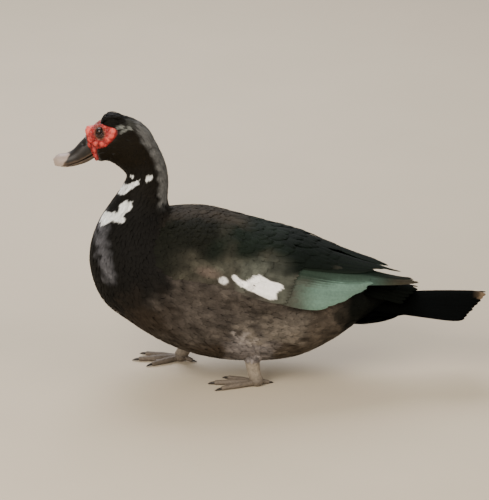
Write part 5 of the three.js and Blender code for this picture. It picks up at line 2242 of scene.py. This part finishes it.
@dataclass
class Bill(Part):
    """Upper and lower mandible, the nail at the tip and the nostrils.

    mouth is the upper mandible's lower edge: distances ahead of the origin, and heights.
    """

    rows: int = 110
    columns: int = 72
    nostril: float = 4.2
    nostril_depth: float = 1.7
    mouth: tuple[tuple[float, ...], tuple[float, ...]] = (
        (219.6, 228.5, 240, 252, 262, 271.5, 278), (352.2, 347, 341.2, 337, 334.8, 333.8, 334),
    )
    nail: Triple = (-273, 0, 342.2)
    nail_radii: Triple = (6.8, 6.4, 3.6)
    nail_slope: float = math.radians(-34)

    def nostril_spots(self) -> list[Array]:
        """The middle of each nostril."""
        spot = UPPER_BILL.ring(one(UPPER_BILL.at("root", 0.55)), one(math.radians(36)))[0]
        return [spot, spot * np.array([1, -1, 1])]

    def upper_colours(self, points: Array) -> Array:
        """Dark horn, a tan edge along the mouth, a pale pinkish tip and nostrils painted black as the shade
        in their pits.

        Args:
            points: places in mm.

        Returns:
            One linear colour for each.
        """
        x, _, z = points.T
        ragged = waves(points, 9, 51)
        colour = lerp(Bare.BILL_BLACK.rgb, Bare.BILL_DARK.rgb, (0.5 + 0.4 * ragged)[:, None])
        edge = smoothstep(z - np.interp(-x, *self.mouth) + 1.2 * ragged, 5.4, 2.6)
        tip = smoothstep(-x + 0.55 * (z - 350) + 1.6 * ragged, 254, 258)
        # The nostrils painted black: shade in their pits
        stretch = np.array([1.5, 1, 1])
        away = [np.linalg.norm((points - spot) / stretch, axis=1) for spot in self.nostril_spots()]
        hole = smoothstep(np.minimum(*away), 2.8, 1.2)
        return painted(colour, [(Bare.BILL_EDGE, edge), (Bare.BILL_TIP, tip), (Bare.NOSTRIL_SHADE, hole)])

    @staticmethod
    def lower_colours(points: Array) -> Array:
        """Tan horn, darker in patches and paler at the tip."""
        ragged = waves(points, 8, 52)
        colour = lerp(Bare.JAW_DARK.rgb, Bare.JAW_TAN.rgb, (0.5 + 0.4 * ragged)[:, None])
        return painted(colour, [(Bare.JAW_TIP, smoothstep(2 * ragged - points[:, 0], 252, 262))])

    def build(self, finishes: Finishes) -> None:
        """Builds the mandibles and the nail."""
        spots = self.nostril_spots()

        def upper(first: Array, second: Array) -> Array:
            """The upper mandible with its nostrils sunk in and a lip along the mouth."""
            angle = second * TURN
            base = UPPER_BILL.ring(first, angle)
            lip = 0.5 * np.exp(-(((np.abs(angle - math.pi) - 1.1) / 0.16) ** 2)) * smoothstep(first, 0.1, 0.3)
            low = np.zeros(len(first))
            for spot in spots:
                away = np.linalg.norm((base - spot) / np.array([1.4, 1, 0.8]), axis=1)
                bowl = np.maximum(0, 1 - (away / self.nostril) ** 2) ** 1.5
                low = np.maximum(low, self.nostril_depth * bowl)
                low = low - 0.35 * np.exp(-(((away - self.nostril) / 0.8) ** 2))
            return UPPER_BILL.ring(first, angle, lip - low)

        piece = sheet("upper_mandible", self.rows, self.columns, upper, self.upper_colours)
        dress(piece, finishes.bill, ["bill_upper"])
        piece = sheet("lower_mandible", 70, 48, lambda u, v: LOWER_BILL.ring(u, v * TURN), self.lower_colours)
        dress(piece, finishes.bill, ["bill_lower"])
        form = bmesh.new()
        bmesh.ops.create_icosphere(form, subdivisions=4, radius=1)
        shape = Matrix.Translation(self.nail) @ Matrix.Rotation(self.nail_slope, 4, "Y")
        bmesh.ops.transform(form, matrix=shape @ Matrix.Diagonal((*self.nail_radii, 1)), verts=form.verts)
        dress(finish_form("nail", form), finishes.nail, ["bill_nail"])


@dataclass(frozen=True)
class Toe:
    """A toe: its length, its spread from straight ahead in degrees and its radius."""

    length: float
    spread: float
    radius: float


TOES = {"inner": Toe(50, 27, 4.1), "middle": Toe(64, 0, 4.6), "outer": Toe(58, -25, 4.1)}
TOE_HEIGHT = (5.6, 3.1)
FLOOR_GAP = 0.05


@dataclass
class Leg(Part):
    """A leg: feathered thigh, scaled shank, three webbed toes, a hind toe and four claws.

    heel, hock and thigh are x, distance from the middle plane and, but for the heel, height. turn is the way
    that the foot points, in degrees, and coat_edge the height up to which the thigh has feathers of its own.
    """

    word: str
    side: int
    heel: Pair
    hock: Triple
    thigh: Triple
    turn: float
    shank_radii: Triple = (11.4, 9.8, 10.2)
    thigh_radii: Triple = (36, 22.5, 10.6)
    coat_edge: float = 75
    pad_rise: float = 6.8
    pad_radii: Triple = (10, 10, 8)
    scute: float = 2.6
    toe_shape: tuple[float, ...] = (1.3, 1, 1.12, 0.9, 0.82)
    hind_turn: float = 24
    hind_length: float = 20
    hind_heights: Triple = (10, 5.4, 2.6)
    hind_radii: Triple = (4.4, 3.6, 2.9)
    web_rise: float = 3.2
    web_wall: float = 1.2

    def spot(self, x: float, y: float, z: float) -> Array:
        """A point given by x, its distance from the middle plane and its height."""
        return np.array([x, -self.side * y, z])

    @property
    def pad(self) -> Array:
        """The middle of the heel pad."""
        return self.spot(*self.heel, self.pad_rise)

    def toe_point(self, toe: Toe, share: float) -> Array:
        """A point on a toe's line.

        Args:
            toe: the toe.
            share: share of the way from the heel pad to the toe's end.

        Returns:
            The point in mm.
        """
        angle = math.radians(self.turn + self.side * toe.spread)
        reach = toe.length * share
        x, y, _ = self.pad
        return np.array([x - reach * math.cos(angle), y + reach * math.sin(angle), lerp(*TOE_HEIGHT, share)])

    def skin_colours(self, points: Array) -> Array:
        """Pale grey-tan shank, darker toes and webs."""
        colour = lerp(Bare.TOE.rgb, Bare.SHANK.rgb, smoothstep(points[:, 2], 8, 20)[:, None])
        return colour * (1 + 0.14 * waves(points, 6, 77))[:, None]

    def rod_piece(self, name: str, rod: Rod, rows: int, columns: int, ridge: float = 0) -> Piece:
        """A rod as a closed sheet, with low cross ridges like scutes.

        Args:
            name: name of the piece.
            rod: the rod.
            rows: faces along it.
            columns: faces around it.
            ridge: height of the ridges in mm.

        Returns:
            The finished object.
        """
        length = float(np.linalg.norm(np.diff(np.array(rod.line), axis=0), axis=1).sum())

        def place(first: Array, second: Array) -> Array:
            """Points of the rod with rounded ends, none of them under the floor."""
            end = np.sqrt(np.clip(1 - np.maximum(np.abs(2 * first - 1) - 0.9, 0) ** 2 / 0.01, 0, 1))
            scutes = ridge * (np.abs(np.sin(math.pi * first * length / self.scute)) - 0.6)
            radius = np.interp(first, np.linspace(0, 1, len(rod.radii)), rod.radii)
            points = rod.points(first, second * TURN, scutes + radius * (end - 1) * 0.85)
            points[:, 2] = np.maximum(points[:, 2], FLOOR_GAP)
            return points

        return sheet(name, rows, columns, place, self.skin_colours)

    def web(self, first_toe: Toe, second_toe: Toe) -> Piece:
        """The web between two toes, hollow along its front edge and a little wavy.

        Args:
            first_toe: the toe on one side of it.
            second_toe: the toe on the other side.

        Returns:
            The finished object.
        """

        def place(first: Array, second: Array) -> Array:
            """Points of the web's middle sheet."""
            points = []
            for along, across in zip(first, second):
                reach = max(along * (0.95 - 0.26 * math.sin(math.pi * across)), 0.02)
                spot = lerp(self.toe_point(first_toe, reach), self.toe_point(second_toe, reach), across)
                ripple = 0.5 * math.sin(math.pi * across) * math.sin(9 * across + 4 * along)
                spot[2] = self.web_rise + ripple
                points.append(spot)
            return np.array(points)

        return sheet("web", 26, 20, place, self.skin_colours, closed=False, wall=self.web_wall)

    def build(self, finishes: Finishes) -> None:
        """Builds the leg's pieces."""
        pad, knee = self.pad, self.spot(*self.hock)
        top = knee + np.array([0, 0, 12])
        shank = Rod((tuple(top), tuple(lerp(knee, pad, 0.5)), tuple(pad)), self.shank_radii, 0.85)
        piece = self.rod_piece("scaled_shank_" + self.word, shank, 60, 40, 0.35)
        dress(piece, finishes.legs, ["shank_" + self.word])
        parts, claws = [], []
        for toe in TOES.values():
            line = tuple(tuple(self.toe_point(toe, share)) for share in (0, 0.25, 0.5, 0.75, 1))
            radii = tuple(toe.radius * share for share in self.toe_shape)
            parts.append(self.rod_piece("toe", Rod(line, radii), 60, 24, 0.22))
            claws.append((np.array(line[-1]), np.array(line[-1]) - np.array(line[-2]), radii[-1], 1.0))
        angle = math.radians(180 + self.turn - self.side * self.hind_turn)
        back = np.array([-math.cos(angle), math.sin(angle), 0])
        hind = [pad + back * self.hind_length * share for share in (0, 0.5, 1)]
        for spot, height in zip(hind, self.hind_heights):
            spot[2] = height
        parts.append(self.rod_piece("toe", Rod(tuple(map(tuple, hind)), self.hind_radii), 30, 20, 0.15))
        claws.append((hind[2], back, self.hind_radii[2], 0.7))
        parts.append(self.pad_piece())
        parts.append(self.web(TOES["inner"], TOES["middle"]))
        parts.append(self.web(TOES["middle"], TOES["outer"]))
        foot = join_pieces("webbed_foot_" + self.word, parts)
        dress(foot, finishes.legs, ["foot_" + self.word])
        tips = [self.claw(*claw) for claw in claws]
        nodes = [f"claw_{self.word}_{toe}" for toe in (*TOES, "hind")]
        dress(join_pieces("claws_" + self.word, tips), finishes.claw, nodes)
        self.build_thigh(finishes, knee)

    def pad_piece(self) -> Piece:
        """The heel pad, flat underneath.

        Returns:
            The finished object.
        """
        form = bmesh.new()
        bmesh.ops.create_icosphere(form, subdivisions=4, radius=1)
        shape = Matrix.Translation(Vector(self.pad)) @ Matrix.Diagonal((*self.pad_radii, 1))
        bmesh.ops.transform(form, matrix=shape, verts=form.verts)
        for vert in form.verts:
            vert.co.z = max(vert.co.z, FLOOR_GAP)
        form.loops.layers.uv.new(BAKE_MAP)
        return finish_form("pad", form, self.skin_colours)

    def claw(self, end: Array, along: Array, radius: float, size: float) -> Piece:
        """A short blunt claw that curves down to the floor.

        Args:
            end: the toe's end in mm.
            along: the way that the toe runs there.
            radius: the toe's radius there, in mm.
            size: the claw's length as a share of a front one's.

        Returns:
            The finished object.
        """
        ahead = np.array([along[0], along[1], 0]) / np.hypot(along[0], along[1])
        line = []
        for share in (0, 0.5, 1):
            spot = end + ahead * (0.3 - 2.5 * (share == 0) + 9 * size * share)
            spot[2] = lerp(end[2], 1.1, share**1.5)
            line.append(tuple(spot))
        rod = Rod(tuple(line), (radius * 0.62, radius * 0.46, 0.5))
        return sheet("claw", 16, 16, lambda u, v: rod.points(u, v * TURN))

    def build_thigh(self, finishes: Finishes, knee: Array) -> None:
        """Builds the thigh's skin and the feathers over it.

        Args:
            finishes: the finishes of the bird.
            knee: the thigh's lower end in mm.
        """
        root = self.spot(*self.thigh)
        rod = Rod((tuple(root), tuple(lerp(root, knee, 0.6)), tuple(knee)), self.thigh_radii, 0.9)
        name, place = "thigh_skin_" + self.word, lambda u, v: rod.points(u, v * TURN, -2.0)
        dress(sheet(name, 30, 40, place, Markings.body), finishes.skin)
        rng = np.random.default_rng(91 + self.side)
        along, around, _, reach = spread(
            rod, (0.05, 0.86), (0, TURN), (4.2, 4.2), 92, lambda points: points[:, 2] < self.coat_edge
        )
        count = len(along)
        feathers = Feathers(
            rod, DOWN_VANE, along, around,
            length=reach * 2.9 * rng.uniform(0.7, 1.2, count),
            half=reach * 0.74 * rng.uniform(0.9, 1.1, count),
            root=-2.2,
            tip=rng.uniform(-1.6, 0.2, count),
            lean=rng.normal(0, 0.14, count),
            tone=np.exp(rng.normal(0, 0.2, count)),
            seed=94 + self.side,
            fringe=0.25,
            mixed=0.4,
        )
        piece = feathers.build("thigh_feathers_" + self.word)
        dress(piece, finishes.plumage, ["thigh_" + self.word])


def join_pieces(name: str, parts: Sequence[Piece]) -> Piece:
    """Joins finished pieces into one mesh.

    Args:
        name: name of the new piece.
        parts: the finished pieces, which are used up.

    Returns:
        The object.
    """
    form = bmesh.new()
    for part in parts:
        mesh = part.data
        form.from_mesh(mesh)
        bpy.data.objects.remove(part)
        bpy.data.meshes.remove(mesh)
    joined = bpy.data.meshes.new(name)
    form.to_mesh(joined)
    form.free()
    return link_object(name, joined)


@dataclass(frozen=True)
class Lamp:
    """A soft square lamp: where it hangs and where it points, its size in metres, its power and colour."""

    name: str
    place: Triple
    aim: Triple
    size: float
    watts: float
    colour: str


@dataclass
class Stage(Part):
    """The floor, the lamps, the soft light of the room and the camera."""

    elevation: float = math.radians(20)
    distance: float = 12.0
    aim: Triple = (6.75, 0, 196.3)
    frame_mm: float = 750
    sensor_mm: float = 36
    floor_size: float = 8
    room_colour: str = "#e9e7e6"
    room_light: float = 0.62
    lamps: tuple[Lamp, ...] = (
        Lamp("sky_behind", (-0.5, 1.5, 1.9), (0, 0, 0.2), 1.6, 52, "#f7f6ff"),
        Lamp("soft_front", (-1.3, -2.0, 1.7), (0, 0, 0.2), 1.8, 96, "#fff4e8"),
        Lamp("fill_right", (1.8, -1.0, 1.2), (0, 0, 0.2), 1.5, 20, "#fff1e0"),
    )

    def build(self, finishes: Finishes) -> None:
        """Builds the floor, the lamps, the world and the camera."""
        form = bmesh.new()
        bmesh.ops.create_grid(form, x_segments=2, y_segments=2, size=self.floor_size)
        mesh = bpy.data.meshes.new("floor")
        form.to_mesh(mesh)
        form.free()
        mesh.materials.append(finishes.floor)
        floor = link_object("floor", mesh)
        for lamp in self.lamps:
            light = bpy.data.lights.new(lamp.name, "AREA")
            light.size = lamp.size
            light.energy = lamp.watts
            light.color = linear(lamp.colour).tolist()
            holder = link_object(lamp.name, light)
            holder.location = lamp.place
            way = Vector(lamp.aim) - Vector(lamp.place)
            holder.rotation_euler = way.to_track_quat("-Z", "Y").to_euler()
        world = bpy.data.worlds.new("soft_room")
        world.use_nodes = True
        background = world.node_tree.nodes["Background"]
        background.inputs["Color"].default_value = shaded(self.room_colour)
        background.inputs["Strength"].default_value = self.room_light
        bpy.context.scene.world = world
        back = Vector((0, -math.cos(self.elevation), math.sin(self.elevation)))
        lens = bpy.data.cameras.new("camera")
        lens.sensor_width = self.sensor_mm
        lens.lens = self.sensor_mm * self.distance / (self.frame_mm * MM)
        camera = link_object("camera", lens)
        camera.location = Vector(Place.to_metres(np.array(self.aim))) + back * self.distance
        camera.rotation_euler = (-back).to_track_quat("-Z", "Y").to_euler()
        bpy.context.scene.camera = camera


def main() -> None:
    """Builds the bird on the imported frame, with its floor, lamps and camera."""
    logging.basicConfig(level=logging.INFO, format="%(name)s: %(message)s")
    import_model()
    Place.shift = cad_shift()
    log.info("shift %.3f mm", Place.shift[0])
    finishes = Finishes()
    Stage().build(finishes)
    SKIN.build(finishes)
    Coat().build(finishes)
    Crest().build(finishes)
    for side in (1, -1):
        Wing(side).build(finishes)
    Back().build(finishes)
    Tail().build(finishes)
    Caruncles().build(finishes)
    Eyes().build(finishes)
    Bill().build(finishes)
    Leg("left", 1, (25, 55), (17, 54, 36), (26, 50, 84), 3).build(finishes)
    Leg("right", -1, (-90, 51), (-74, 50, 42), (-56, 46, 86), -2).build(finishes)
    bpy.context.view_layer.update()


if __name__ == "__main__":
    main()
